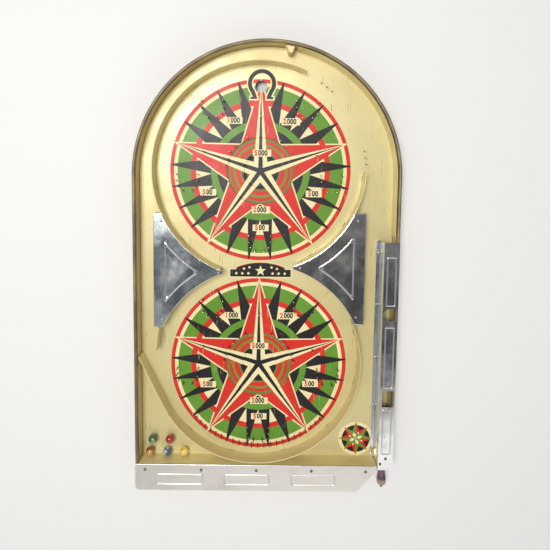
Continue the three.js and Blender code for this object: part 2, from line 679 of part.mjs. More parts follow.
function plungerKnob() {
  const socket = [[0, 14.3], [ROD_BORE, 14.3], [ROD_BORE, 0]];
  const bell = [[4.3, 0], [4.6, 2.5], [4.4, 6], [5, 11], [6.1, 17], [6.6, 22], [6.3, 25.5], [4.6, 28.4]];
  const finial = [[2, 29.6], [1.5, 30.2], [1.9, 31.4], [1.5, 32.6], [0, 33]];
  const profile = [...socket, ...bell, ...finial];
  return part('plunger_knob', turned(profile, 16, PLUNGER_X, KNOB_TOP, PLUNGER_Z, true), KNOB);
}

// ---------- pins ----------

// Pins on a circle, at a list of angles.
const onCircle = (x, y, radius, angles) => angles.map((a) => {
  const place = onArc(x, y, radius, a);
  return [place.x, place.y];
});

// A cup of pins that is open toward the arch.
function pocket(x, y) {
  const bowl = onCircle(x, y, POCKET_RADIUS, [180, 212, 244, 296, 328, 360]);
  return [[x - POCKET_RADIUS, y + POCKET_LIP], ...bowl, [x + POCKET_RADIUS, y + POCKET_LIP]];
}

// Each pocket's name and its place from the middle of its circle.
const POCKETS = [
  ['top_left', -64.5, 84],
  ['top_right', 62, 84],
  ['left', -99, -14],
  ['right', 96.5, -14],
  ['bottom', 0, -96],
];

// The five pockets of a printed circle, and the guard around its cup with the single pins beyond.
function circleCombs(word, y) {
  const pockets = POCKETS.map(([place, dx, dy]) => (
    { name: `${word}_${place}_pocket_pins`, pins: pocket(CIRCLE_X + dx, y + dy) }
  ));
  const side = [172, 160, 148, 136, 124, 112];
  const left = onCircle(CIRCLE_X, y, GUARD_RADIUS, side);
  const right = onCircle(CIRCLE_X, y, GUARD_RADIUS, side.map((a) => 180 - a)).reverse();
  const pins = [[CIRCLE_X - 77, y + 26], ...left, [CIRCLE_X, y + 73], ...right, [CIRCLE_X + 75, y + 22]];
  return [...pockets, { name: `${word}_cup_guard_pins`, pins }];
}

const FENCE_RADIUS = RING_RADIUS * 0.95;
const FENCE_PINS = 23;
const FENCE_PITCH = 4.4;
const fenceAngles = Array.from(
  { length: FENCE_PINS },
  (_, i) => 270 + (i - (FENCE_PINS - 1) / 2) * FENCE_PITCH,
);

const PIN_COMBS = [
  ...circleCombs('upper', UPPER_Y),
  ...circleCombs('lower', LOWER_Y),
  { name: 'gate_pins_top', pins: onCircle(CIRCLE_X, UPPER_Y, RAIL_RADIUS, [56, 52.4, 48.8]) },
  { name: 'gate_pins_side', pins: onCircle(CIRCLE_X, UPPER_Y, RAIL_RADIUS, [11.6, 8, 4.4]) },
  { name: 'bottom_fence_pins', pins: onCircle(CIRCLE_X, LOWER_Y, FENCE_RADIUS, fenceAngles) },
];

// A flat ribbon that runs through the points with mitred corners.
function ribbon(points, halfWidth, z0, z1) {
  const side = points.map((p, i) => {
    const before = points[Math.max(i - 1, 0)];
    const after = points[Math.min(i + 1, points.length - 1)];
    const into = p.clone().sub(before).normalize();
    const out = after.clone().sub(p).normalize();
    const along = into.clone().add(out).normalize();
    const stretch = 1 / Math.max(along.dot(i === 0 ? out : into), 0.5);
    return new THREE.Vector2(-along.y, along.x).multiplyScalar(halfWidth * stretch);
  });
  const left = points.map((p, i) => p.clone().add(side[i]));
  const right = points.map((p, i) => p.clone().sub(side[i])).reverse();
  return prism([...right, ...left], z0, z1);
}

// A row of wire pins that come up through the field from one strip under it.
function pinComb({ name, pins }) {
  const path = pins.map(([x, y]) => new THREE.Vector2(x, y));
  const strip = ribbon(path, NAIL_RADIUS + 0.4, UNDER_FIELD - COMB_STRIP, UNDER_FIELD);
  const start = UNDER_FIELD - COMB_STRIP / 2;
  const [middle, length] = [(NAIL_TOP + start) / 2, NAIL_TOP - start];
  const posts = pins.map(([x, y]) => rod(x, y, middle, NAIL_RADIUS, length, NAIL_SIDES));
  return part(name, join([strip, ...posts]), NAIL);
}

// ---------- marbles ----------

const MARBLES = [
  { name: 'marble_yellow', x: -113, y: -259.2, color: 0xe3b926 },
  { name: 'marble_blue', x: -137, y: -259.2, color: 0x4d5a68 },
  { name: 'marble_amber', x: -161, y: -259.2, color: 0x9a5a22 },
  { name: 'marble_green', x: -157, y: -241, color: 0x3f5a3a },
  { name: 'marble_red', x: -133, y: -241, color: 0xa8302a },
];

function marble({ name, x, y, color }) {
  const ball = toSolid(new THREE.SphereGeometry(MARBLE_RADIUS, 14, 8).rotateX(Math.PI / 2));
  const mesh = part(name, ball, { color, roughness: 0.08, metalness: 0 });
  mesh.position.set(x, y, FIELD_Z + GAP + MARBLE_RADIUS);
  return mesh;
}

// ---------- prop stand ----------

// A path through the points with every inner corner rounded off.
function bentPath(points, bend) {
  const path = new THREE.CurvePath();
  let from = points[0];
  points.slice(1, -1).forEach((corner, i) => {
    const before = points[i].clone().sub(corner);
    const after = points[i + 2].clone().sub(corner);
    const reach = Math.min(bend, before.length() / 2.4, after.length() / 2.4);
    const start = corner.clone().addScaledVector(before.normalize(), reach);
    const end = corner.clone().addScaledVector(after.normalize(), reach);
    path.add(new THREE.LineCurve3(from, start));
    path.add(new THREE.QuadraticBezierCurve3(start, corner, end));
    from = end;
  });
  path.add(new THREE.LineCurve3(from, points.at(-1)));
  return path;
}

// A U of wire that lies folded under the field and swings down to raise the arch end.
function propStand() {
  const foot = STAND_HINGE_Y - STAND_LENGTH;
  const points = [
    [-STAND_END, STAND_HINGE_Y], [-STAND_HALF_WIDTH, STAND_HINGE_Y], [-STAND_HALF_WIDTH, foot],
    [STAND_HALF_WIDTH, foot], [STAND_HALF_WIDTH, STAND_HINGE_Y], [STAND_END, STAND_HINGE_Y],
  ].map(([x, y]) => new THREE.Vector3(x, y, STAND_HINGE_Z));
  const samples = bentPath(points, STAND_BEND).getSpacedPoints(STAND_STEPS);
  const section = new THREE.Shape(arcPoints(0, 0, STAND_WIRE, 0, 300, 5));
  const sweep = { steps: STAND_STEPS, extrudePath: new THREE.CatmullRomCurve3(samples) };
  return part('prop_stand', toSolid(new THREE.ExtrudeGeometry(section, sweep)), STEEL);
}

// A saddle clip under the field that holds one end of the stand's wire.
function standClip(name, side) {
  const x = side * STAND_CLIP_X;
  const bore = STAND_WIRE + 0.5;
  const [front, back] = [STAND_HINGE_Y - bore - 1, STAND_HINGE_Y + bore + 1];
  const block = box(x - 4, x + 4, front, back, STAND_HINGE_Z - bore - 1, UNDER_FIELD);
  const flange = box(x - 4, x + 4, STAND_HINGE_Y - 10, STAND_HINGE_Y + 10, UNDER_FIELD - 1, UNDER_FIELD);
  const hole = toSolid(new THREE.CylinderGeometry(bore, bore, 20, 12).rotateZ(Math.PI / 2));
  return part(name, block.add(flange).subtract(hole.translate([x, STAND_HINGE_Y, STAND_HINGE_Z])), STEEL);
}

// ---------- assembly ----------

const group = new THREE.Group();
group.add(
  ...caseBands(),
  playfield(),
  runwayLiner(),
  reboundStop(),
  circleRail('upper_rail_left', LEFT_CIRCLES.above, 65, 248.5, TAB_PLACES.upperLeft),
  circleRail('upper_rail_right', RIGHT_CIRCLES.above, -2, -68.5, TAB_PLACES.upperRight),
  circleRail('left_gusset_rail', LEFT_CIRCLES.below, 111.5, 155, TAB_PLACES.gussetLeft),
  circleRail('right_gusset_rail', RIGHT_CIRCLES.below, 68.5, 28, TAB_PLACES.gussetRight),
  lowerLeftRail(),
  lowerRail(),
  gusset('left_gusset', GUSSETS.left),
  gusset('right_gusset', GUSSETS.right),
  ...GUSSET_RIVETS.map(gussetRivet),
  laneCover(),
  ...COVER_SCREWS.map((place, i) => coverScrew(`lane_cover_screw_${i + 1}`, place)),
  apron(),
  apronBracket(),
  ...APRON_SCREWS.map((place, i) => coverScrew(`apron_screw_${i + 1}`, place)),
  plungerBush(),
  plungerNut(),
  plungerRod(),
  plungerStriker(),
  plungerCollar(),
  plungerSpring(),
  plungerKnob(),
  ...PIN_COMBS.map(pinComb),
  ...MARBLES.map(marble),
  propStand(),
  standClip('stand_clip_left', -1),
  standClip('stand_clip_right', 1),
);

export default group;
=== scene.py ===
"""Looks for a tabletop pin-ball board in lithographed tin, lying on its back on a pale floor.

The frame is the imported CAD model: X to the player's right, Y toward the arch, Z up out of the playfield.
Shapes are written in millimetres and scaled to metres when a mesh is made.
"""
import math
import random

import bmesh
import bpy
from mathutils import Matrix, Vector
from mathutils.geometry import delaunay_2d_cdt


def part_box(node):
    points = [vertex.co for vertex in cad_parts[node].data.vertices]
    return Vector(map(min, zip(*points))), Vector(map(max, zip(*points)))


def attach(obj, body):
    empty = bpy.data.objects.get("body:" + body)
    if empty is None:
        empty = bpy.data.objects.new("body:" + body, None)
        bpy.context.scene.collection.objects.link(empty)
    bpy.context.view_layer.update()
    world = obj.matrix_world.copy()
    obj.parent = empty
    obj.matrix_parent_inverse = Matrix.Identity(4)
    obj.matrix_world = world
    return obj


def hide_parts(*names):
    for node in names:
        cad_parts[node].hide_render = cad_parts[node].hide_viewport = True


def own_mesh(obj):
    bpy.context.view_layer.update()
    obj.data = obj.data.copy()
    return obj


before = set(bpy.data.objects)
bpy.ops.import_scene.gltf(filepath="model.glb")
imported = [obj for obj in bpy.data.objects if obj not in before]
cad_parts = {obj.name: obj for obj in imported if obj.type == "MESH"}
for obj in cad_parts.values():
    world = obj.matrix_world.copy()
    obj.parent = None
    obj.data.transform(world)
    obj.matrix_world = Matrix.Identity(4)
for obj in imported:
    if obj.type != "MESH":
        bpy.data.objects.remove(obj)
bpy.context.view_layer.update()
MM = 0.001


def cad(node):
    """A node's lowest and highest corners, in millimetres."""
    low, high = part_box(node)
    return low / MM, high / MM


# ---------- shared measurements ----------

FIELD_Z = 14.0
SHEET = 1.0
GAP = 0.3
CIRCLE_X = -9.0
UPPER_Y = 138.0
LOWER_Y = -133.0
RING = 122.8
CUP = 45.4
CUP_INNER = 22.5
CUP_STEP = 1.3
HOLE = (-9.0, 251.0)
HOLE_RADIUS = 8.0
CASE_HALF = cad("case_band")[1].x
CASE_TOP = cad("case_arch_left")[1].y
CASE_BOTTOM = cad("case_band")[0].y
RIM = cad("case_band")[1].z
WALL_INSET = 4.6
WALL = 0.9
ARCH_Y = CASE_TOP - CASE_HALF
FIELD_BOTTOM = cad("playfield")[0].y
RAIL_TOP = cad("upper_rail_left")[1].z
RAIL_RADIUS = 143.0
LANE_WALL_X = 157.4
LANE_FOOT_X = 152.0
LANE_FOOT_TOP = 42.7
COVER_Z = 37.3
PLATE = 0.8

# The rail circles above and below each gusset, as (middle Y, radius), and the outlines of the gussets.
LEFT_CIRCLES = ((UPPER_Y, RAIL_RADIUS), (LOWER_Y, RAIL_RADIUS))
RIGHT_CIRCLES = ((143.5, 140.0), (-127.5, RAIL_RADIUS))
GUSSETS = {
    "left_gusset": (-1, 80.9, -73.1, 2.5, (41.5, -36.5), LEFT_CIRCLES),
    "right_gusset": (1, 83.7, -67.0, 9.5, (49.0, -31.5), RIGHT_CIRCLES),
}


# ---------- plane geometry ----------

def rad(angle):
    return math.radians(angle)


def polar(x, y, radius, angle):
    return (x + radius * math.cos(rad(angle)), y + radius * math.sin(rad(angle)))


def arc(x, y, radius, start, end, steps):
    return [polar(x, y, radius, start + (end - start) * i / steps) for i in range(steps + 1)]


def disc(x, y, radius, steps=144):
    return arc(x, y, radius, 0, 360, steps)[:-1]


def rounded_box(x0, x1, y0, y1, radius, steps=4):
    points = []
    corners = [(x1, y1, 0), (x0, y1, 90), (x0, y0, 180), (x1, y0, 270)]
    for x, y, start in corners:
        cx = x - radius if x == x1 else x + radius
        cy = y - radius if y == y1 else y + radius
        points += arc(cx, cy, radius, start, start + 90, steps)
    return points


def turned_about(points, x, y, angle):
    """Points given as (along, across) about a centre, turned so that along points at the angle."""
    c, s = math.cos(rad(angle)), math.sin(rad(angle))
    return [(x + a * c - b * s, y + a * s + b * c) for a, b in points]


def signed_area(points):
    ahead = points[1:] + points[:1]
    return sum(p[0] * q[1] - q[0] * p[1] for p, q in zip(points, ahead)) / 2


def counter_clockwise(points):
    return points if signed_area(points) > 0 else list(reversed(points))


def thick_line(path, half):
    """An outline around a path of points, half wide on each side, with mitred corners."""
    left, right = [], []
    for i, point in enumerate(path):
        p = Vector(point)
        into = (p - Vector(path[max(i - 1, 0)])).normalized()
        out = (Vector(path[min(i + 1, len(path) - 1)]) - p).normalized()
        along = (into + out).normalized()
        reach = half / max(along.dot(into if i else out), 0.5)
        side = Vector((-along.y, along.x)) * reach
        left.append(tuple(p + side))
        right.append(tuple(p - side))
    return left + list(reversed(right))


# ---------- mesh building ----------

def link(thing):
    bpy.context.scene.collection.objects.link(thing)
    return thing


def riding(name, mesh, body):
    """An object that shows a mesh and moves with a body."""
    piece = link(bpy.data.objects.new(name, mesh))
    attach(piece, body)
    return piece


def make_object(name, vertices, faces, materials, face_slots=None, body="case"):
    """A mesh object from millimetre vertices, smooth except where faces meet sharply."""
    mesh = bpy.data.meshes.new(name)
    mesh.from_pydata([Vector(v) * MM for v in vertices], [], faces)
    for material in materials:
        mesh.materials.append(material)
    if face_slots:
        mesh.polygons.foreach_set("material_index", face_slots)
    shaded(mesh)
    return riding(name, mesh, body)


def shaded(mesh, angle=32):
    shape = bmesh.new()
    shape.from_mesh(mesh)
    bmesh.ops.recalc_face_normals(shape, faces=shape.faces)
    shape.to_mesh(mesh)
    shape.free()
    mesh.shade_smooth()
    mesh.set_sharp_from_angle(angle=rad(angle))


def weighted(piece):
    """Keeps broad flat faces looking flat beside small rounded ones."""
    modifier = piece.modifiers.new("flat_faces", "WEIGHTED_NORMAL")
    modifier.keep_sharp = True
    return piece


class Shape:
    """Vertices and faces of one piece, gathered from several closed bodies."""

    def __init__(self):
        self.vertices = []
        self.faces = []
        self.slots = []

    def add(self, vertices, faces, slot=0):
        start = len(self.vertices)
        self.vertices += [tuple(v) for v in vertices]
        self.faces += [[start + i for i in face] for face in faces]
        self.slots += [slot] * len(faces)
        return self

    def loft(self, rings, slot=0, closed_along=False):
        """Joins rings of equal length; the ends are capped unless the rings close on themselves."""
        around = len(rings[0])
        vertices = [v for ring in rings for v in ring]
        faces = []
        last = len(rings) if closed_along else len(rings) - 1
        for i in range(last):
            k = (i + 1) % len(rings)
            for j in range(around):
                n = (j + 1) % around
                faces.append([i * around + j, i * around + n, k * around + n, k * around + j])
        if not closed_along:
            faces.append(list(range(around)))
            faces.append([(len(rings) - 1) * around + j for j in reversed(range(around))])
        return self.add(vertices, faces, slot)

    def lathe(self, profile, centre, axis="z", sides=32, hollow=False):
        """Turns [radius, height] pairs, from the foot of the axis to its head, about it."""
        rings = []
        for radius, height in profile:
            ring = []
            for j in range(sides):
                a, b = polar(0, 0, max(radius, 0.001), 360 * j / sides)
                offset = (a, b, height) if axis == "z" else (a, -height, b)
                ring.append(tuple(c + o for c, o in zip(centre, offset)))
            rings.append(ring)
        return self.loft(rings, closed_along=hollow)

    def block(self, x, y, z):
        """A box between three pairs of limits."""
        return self.loft([[(x[0], y[0], h), (x[1], y[0], h), (x[1], y[1], h), (x[0], y[1], h)] for h in z])

    def moved(self, first, angle, x, y):
        """Turns everything from the vertex numbered first about Z, then shifts it."""
        for i in range(first, len(self.vertices)):
            vx, vy, vz = self.vertices[i]
            (px, py), = turned_about([(vx, vy)], x, y, angle)
            self.vertices[i] = (px, py, vz)
        return self

    def build(self, name, materials, body="case"):
        return make_object(name, self.vertices, self.faces, materials, self.slots, body)


def pressed_sheet(name, loops, thickness, materials, height=None, paint=(), back_slot=0, body="case"):
    """A thin sheet cut to its first loop.

    Each loop is (points, z, kind), where kind is "edge", "hole" or "fold". Paint is a list of
    (points, slot), the last on top. Height gives z where a loop doesn't.
    """
    coords, outlines, levels = [], [], []
    for points, z, _ in loops:
        start = len(coords)
        ordered = counter_clockwise(list(points))
        coords += [Vector(p) for p in ordered]
        levels += [z] * len(ordered)
        outlines.append(list(range(start, len(coords))))
    for points, _ in paint:
        start = len(coords)
        ordered = counter_clockwise(list(points))
        coords += [Vector(p) for p in ordered]
        levels += [None] * len(ordered)
        outlines.append(list(range(start, len(coords))))
    made = delaunay_2d_cdt(coords, [], outlines, 1, 1e-4, True)
    points, _, triangles, from_vertices, _, from_faces = made
    edge = [i for i, loop in enumerate(loops) if loop[2] == "edge"]
    holes = [i for i, loop in enumerate(loops) if loop[2] == "hole"]
    first_paint = len(loops)
    top, slots = [], []
    for triangle, sources in zip(triangles, from_faces):
        if not any(i in sources for i in edge) or any(i in sources for i in holes):
            continue
        top.append(list(triangle))
        inks = [i for i in sources if i >= first_paint]
        slots.append(paint[max(inks) - first_paint][1] if inks else 0)
    used = sorted({i for triangle in top for i in triangle})
    place = {old: new for new, old in enumerate(used)}

    def level(i):
        known = [levels[k] for k in from_vertices[i] if levels[k] is not None]
        return known[0] if known else height(points[i].x, points[i].y)

    upper = [(points[i].x, points[i].y, level(i)) for i in used]
    lower = [(x, y, z - thickness) for x, y, z in upper]
    count = len(used)
    top = [[place[i] for i in triangle] for triangle in top]
    faces = top + [[count + i for i in reversed(triangle)] for triangle in top]
    slots = slots + [back_slot] * len(top)
    seen = {}
    for a, b, c in top:
        for pair in ((a, b), (b, c), (c, a)):
            seen[pair] = True
    for a, b in list(seen):
        if (b, a) not in seen:
            faces.append([a, count + a, count + b, b])
            slots.append(back_slot)
    piece = make_object(name, upper + lower, faces, materials, slots, body)
    return weighted(piece)


# ---------- materials ----------

class Nodes:
    """Wiring for the shader nodes of one tree."""

    def node(self, kind, **settings):
        made = self.tree.nodes.new(kind)
        for key, value in settings.items():
            setattr(made, key, value)
        return made

    def feed(self, source, target):
        self.tree.links.new(source, target)

    def ramp(self, source, low, high, start=0.0, end=1.0, **settings):
        """Maps low..high of the source to start..end, held at both ends."""
        made = self.node("ShaderNodeMapRange", **settings)
        for name, value in (("From Min", low), ("From Max", high), ("To Min", start), ("To Max", end)):
            made.inputs[name].default_value = value
        self.feed(source, made.inputs["Value"])
        return made.outputs["Result"]

    def over(self, under, mask, colour):
        """A colour laid over a colour or a socket, where the mask is 1."""
        mix = self.node("ShaderNodeMix", data_type="RGBA")
        inputs = [socket for socket in mix.inputs if socket.type == "RGBA"]
        self.feed(mask, next(socket for socket in mix.inputs if socket.type == "VALUE"))
        if isinstance(under, tuple):
            inputs[0].default_value = under
        else:
            self.feed(under, inputs[0])
        inputs[1].default_value = (*colour, 1.0)
        return next(socket for socket in mix.outputs if socket.type == "RGBA")

    def part(self, source, axis):
        """One coordinate of a vector."""
        split = self.node("ShaderNodeSeparateXYZ")
        self.feed(source, split.inputs["Vector"])
        return split.outputs[axis]


class Look(Nodes):
    """A procedural material around one Principled shader."""

    def __init__(self, name, colour, metallic=0.0, roughness=0.5):
        self.material = bpy.data.materials.new(name)
        self.material.use_nodes = True
        self.tree = self.material.node_tree
        self.shader = self.tree.nodes["Principled BSDF"]
        self.coords = self.node("ShaderNodeTexCoord").outputs["Object"]
        self.colour = (*colour, 1.0)
        self.set("Base Color", self.colour)
        self.set("Metallic", metallic)
        self.set("Roughness", roughness)
        self.bump_source = None

    def set(self, socket, value):
        self.shader.inputs[socket].default_value = value
        return self

    def noise(self, scale, detail=4.0, stretch=(1, 1, 1), turn=(0, 0, 0), roughness=0.55):
        mapping = self.node("ShaderNodeMapping")
        mapping.inputs["Scale"].default_value = stretch
        mapping.inputs["Rotation"].default_value = turn
        self.feed(self.coords, mapping.inputs["Vector"])
        texture = self.node("ShaderNodeTexNoise")
        texture.inputs["Scale"].default_value = scale
        texture.inputs["Detail"].default_value = detail
        texture.inputs["Roughness"].default_value = roughness
        self.feed(mapping.outputs["Vector"], texture.inputs["Vector"])
        return texture.outputs["Fac"]

    def times(self, a, b):
        made = self.node("ShaderNodeMath", operation="MULTIPLY")
        self.feed(a, made.inputs[0])
        self.feed(b, made.inputs[1])
        return made.outputs["Value"]

    def tint(self, mask, colour):
        """Lays a colour over what the base colour is so far, where the mask is 1."""
        self.colour = self.over(self.colour, mask, colour)
        self.feed(self.colour, self.shader.inputs["Base Color"])
        return self

    def rough(self, source, low, high, start, end):
        self.feed(self.ramp(source, low, high, start, end), self.shader.inputs["Roughness"])
        return self

    def bump(self, source, strength, distance):
        """Adds relief from a height, distance in millimetres, over the relief so far."""
        made = self.node("ShaderNodeBump")
        made.inputs["Strength"].default_value = strength
        made.inputs["Distance"].default_value = distance * MM
        self.feed(source, made.inputs["Height"])
        if self.bump_source is not None:
            self.feed(self.bump_source, made.inputs["Normal"])
        self.bump_source = made.outputs["Normal"]
        self.feed(self.bump_source, self.shader.inputs["Normal"])
        return self


def scratches(look, scale, turn, threshold):
    """A mask of fine hairlines that run one way."""
    lines = look.noise(scale, 3, (1, 0.03, 1), (0, 0, rad(turn)))
    fade = look.noise(60, 2)
    return look.times(look.ramp(lines, threshold, threshold + 0.03), look.ramp(fade, 0.52, 0.62))


def gold_lacquer(name, colour, dark, chip=(0.33, 0.27, 0.16), metallic=0.25, browning=0.35):
    """Gold lacquer over tin: a satin coat that goes browner in patches, with hairlines and a few chips."""
    look = Look(name, colour, metallic=metallic, roughness=0.38)
    look.set("Coat Weight", 0.2).set("Coat Roughness", 0.3)
    patch = look.noise(9, 5)
    grain = look.noise(900, 2)
    look.tint(look.ramp(patch, 0.45, 0.75, 0.0, browning), dark)
    look.tint(scratches(look, 700, 25, 0.63), chip)
    look.tint(look.ramp(look.noise(150, 6, roughness=0.7), 0.70, 0.74), chip)
    look.rough(look.noise(35, 5), 0.35, 0.7, 0.34, 0.50)
    look.bump(grain, 0.15, 0.03)
    look.bump(look.noise(14, 3), 0.3, 0.5)
    return look.material


def case_bronze():
    """The case's darker lacquer, with painted shade darkening the bead along its top in uneven patches."""
    look = Look("case_bronze", (0.62, 0.49, 0.23), metallic=0.3, roughness=0.36)
    look.set("Coat Weight", 0.2).set("Coat Roughness", 0.3)
    look.tint(look.ramp(look.noise(10, 5), 0.45, 0.72, 0.0, 0.5), (0.36, 0.25, 0.09))
    # Painted shade: a height mask turns the bead along the case's top a patchy dark grey-brown; the noise
    # mask beside it only breaks the shade into patches.
    bead = look.ramp(look.part(look.coords, "Z"), 0.0318, 0.0326)
    rubbed = look.ramp(look.noise(26, 5), 0.30, 0.55, 0.55, 0.95)
    look.tint(look.times(bead, rubbed), (0.14, 0.11, 0.07))
    look.tint(scratches(look, 600, 15, 0.62), (0.16, 0.12, 0.07))
    look.tint(look.ramp(look.noise(160, 6, roughness=0.7), 0.68, 0.72), (0.14, 0.09, 0.05))
    look.rough(look.noise(35, 5), 0.35, 0.7, 0.30, 0.46)
    look.bump(look.noise(900, 2), 0.15, 0.03)
    look.bump(look.noise(14, 3), 0.3, 0.5)
    return look.material


def ink(name, colour, worn=(0.62, 0.52, 0.30)):
    """Printed ink under the clear lacquer, slightly uneven, rubbed through in specks and hairlines."""
    look = Look(name, colour, metallic=0.0, roughness=0.42)
    look.set("Specular IOR Level", 0.28).set("Coat Weight", 0.12).set("Coat Roughness", 0.3)
    faded = tuple(min(1.0, c * 1.18 + 0.008) for c in colour)
    look.tint(look.ramp(look.noise(22, 5), 0.45, 0.72, 0.0, 0.5), faded)
    look.tint(look.ramp(look.noise(260, 6, roughness=0.72), 0.70, 0.73), worn)
    look.tint(scratches(look, 800, -35, 0.65), worn)
    look.rough(look.noise(40, 4), 0.35, 0.7, 0.36, 0.5)
    look.bump(look.noise(700, 2), 0.12, 0.02)
    look.bump(look.noise(14, 3), 0.25, 0.4)
    return look.material


def bright_tin(name, colour=(0.78, 0.79, 0.80), rough_low=0.09, rough_high=0.24):
    """Bright plate with shallow dents that bend its reflections, hairlines and dull spots."""
    look = Look(name, colour, metallic=1.0, roughness=0.16)
    look.tint(look.ramp(look.noise(240, 6, roughness=0.75), 0.66, 0.72, 0.0, 0.8), (0.30, 0.28, 0.25))
    look.tint(scratches(look, 900, 60, 0.62), (0.45, 0.44, 0.42))
    look.rough(look.noise(45, 6), 0.35, 0.7, rough_low, rough_high)
    look.bump(look.noise(11, 2), 0.5, 2.2)
    look.bump(look.noise(45, 3), 0.3, 0.35)
    look.bump(scratches(look, 500, -20, 0.6), 0.3, 0.03)
    return look.material


def satin_tin(name):
    """Duller plate, brushed along X, with darker smudges."""
    look = Look(name, (0.80, 0.77, 0.72), metallic=0.9, roughness=0.36)
    look.tint(look.ramp(look.noise(28, 6), 0.52, 0.74, 0.0, 0.4), (0.52, 0.48, 0.42))
    look.tint(look.ramp(look.noise(300, 5, roughness=0.75), 0.68, 0.73), (0.28, 0.24, 0.20))
    look.rough(look.noise(600, 3, (0.04, 1, 1)), 0.3, 0.7, 0.28, 0.46)
    look.bump(look.noise(700, 2, (0.03, 1, 1)), 0.25, 0.02)
    look.bump(look.noise(16, 3), 0.4, 0.9)
    return look.material


def plain_steel(name, colour=(0.42, 0.40, 0.37), roughness=0.34):
    look = Look(name, colour, metallic=1.0, roughness=roughness)
    look.tint(look.ramp(look.noise(350, 5), 0.55, 0.70, 0.0, 0.7), (0.20, 0.15, 0.10))
    look.rough(look.noise(500, 3), 0.3, 0.7, roughness - 0.1, roughness + 0.15)
    look.bump(look.noise(900, 3), 0.3, 0.03)
    return look.material


def sheet_back(name):
    """The unprinted back of the sheet: dull tin with rust blooms."""
    look = Look(name, (0.46, 0.42, 0.34), metallic=0.7, roughness=0.5)
    look.tint(look.ramp(look.noise(25, 6), 0.5, 0.72, 0.0, 0.6), (0.30, 0.22, 0.13))
    look.tint(look.ramp(look.noise(180, 6, roughness=0.7), 0.62, 0.72), (0.23, 0.10, 0.05))
    look.rough(look.noise(60, 5), 0.3, 0.7, 0.4, 0.7)
    look.bump(look.noise(400, 4), 0.3, 0.05)
    return look.material


def knob_plastic(name):
    """Dark purple-brown moulded plastic with faint swirls, and a painted highlight as a paler band around
    its widest part.
    """
    look = Look(name, (0.085, 0.05, 0.075), roughness=0.34)
    look.set("Coat Weight", 0.3).set("Coat Roughness", 0.2)
    look.tint(look.ramp(look.noise(120, 5, (1, 0.4, 1)), 0.45, 0.7, 0.0, 0.8), (0.23, 0.14, 0.17))
    # Painted highlight: an uneven paler band around the knob's widest part stands in for a lamp's
    # reflection on its bulb.
    along = look.part(look.coords, "Y")
    band = look.times(look.ramp(along, -0.2935, -0.2965), look.ramp(along, -0.3035, -0.3015))
    uneven = look.ramp(look.noise(60, 3), 0.3, 0.5, 0.5, 0.9)
    look.tint(look.times(band, uneven), (0.40, 0.33, 0.27))
    look.rough(look.noise(300, 4), 0.3, 0.7, 0.22, 0.42)
    look.bump(look.noise(500, 3), 0.2, 0.04)
    return look.material


def marble_glass(name, colour, streak):
    """Glassy marble with a darker or lighter swirl inside its surface."""
    look = Look(name, colour, roughness=0.05)
    look.set("Coat Weight", 1.0).set("Coat Roughness", 0.03)
    look.set("IOR", 1.52)
    swirl = look.noise(90, 3, (1, 0.35, 0.7), (0.4, 0.7, 0.2))
    look.tint(look.ramp(swirl, 0.48, 0.56), streak)
    look.tint(look.ramp(look.noise(140, 2), 0.60, 0.72, 0.0, 0.5), tuple(c * 0.5 for c in colour))
    look.rough(look.noise(400, 3), 0.3, 0.8, 0.03, 0.12)
    look.bump(look.noise(260, 2), 0.1, 0.04)
    return look.material


GOLD = gold_lacquer("gold_field", (0.70, 0.615, 0.315), (0.54, 0.42, 0.16), metallic=0.25, browning=0.35)
RED = ink("red_ink", (0.66, 0.026, 0.015))
GREEN = ink("green_ink", (0.125, 0.29, 0.026))
BLACK = ink("black_ink", (0.013, 0.012, 0.012), worn=(0.42, 0.35, 0.20))
CREAM = ink("cream_ink", (0.86, 0.75, 0.42), worn=(0.50, 0.38, 0.18))
OLIVE = ink("olive_ink", (0.17, 0.20, 0.035))
BACK = sheet_back("sheet_back")
RAIL_GOLD = gold_lacquer("rail_gold", (0.76, 0.65, 0.31), (0.50, 0.37, 0.13), metallic=0.15)
BRONZE = case_bronze()
TIN = bright_tin("bright_tin")
SATIN = satin_tin("satin_tin")
STEEL = plain_steel("plain_steel")
DARK_STEEL = plain_steel("dark_steel", (0.24, 0.22, 0.19), 0.38)
# Painted shade and highlight: the pin wire is coloured near-black and its tip pale, standing in for the
# shade on the pins and the highlight on their heads.
PIN_SHADE_PAINTED_WIRE = plain_steel("pin_wire", (0.085, 0.065, 0.04), 0.34)
PIN_HIGHLIGHT_PAINTED_TIP = plain_steel("pin_tip", (0.78, 0.74, 0.62), 0.22)
KNOB = knob_plastic("knob_plastic")
INKS = [GOLD, RED, GREEN, BLACK, CREAM, OLIVE, BACK]
GOLD_SLOT, RED_SLOT, GREEN_SLOT, BLACK_SLOT, CREAM_SLOT, OLIVE_SLOT, BACK_SLOT = range(7)


# ---------- printed playfield ----------

def star_polygon(x, y, tip, notch, start=90, points=5):
    outline = []
    step = 360 / points
    for i in range(points):
        outline.append(polar(x, y, tip, start + i * step))
        outline.append(polar(x, y, notch, start + (i + 0.5) * step))
    return outline


def spikes(x, y):
    """Four black spikes between each two arms of the star; the outer two are clipped beside the arms."""
    shapes = []
    base = RING * 0.545
    blunt = 0.28
    for arm in range(5):
        axis = 90 - 72 * arm
        for side, start in ((-1, axis), (1, axis - 72)):
            shapes.append([
                polar(x, y, RING, start + side * (14.4 + blunt)),
                polar(x, y, RING, start + side * (14.4 - blunt)),
                polar(x, y, RING * 0.685, start + side * 8.6),
                polar(x, y, base, start + side * 11.6),
                polar(x, y, base, start + side * 21.6),
            ])
        for step in (-7.2, 7.2):
            middle = axis - 36 + step
            ends = [polar(x, y, RING, middle + blunt), polar(x, y, RING, middle - blunt)]
            shapes.append(ends + [polar(x, y, base, middle + turn) for turn in (-7.2, 0, 7.2)])
    return shapes


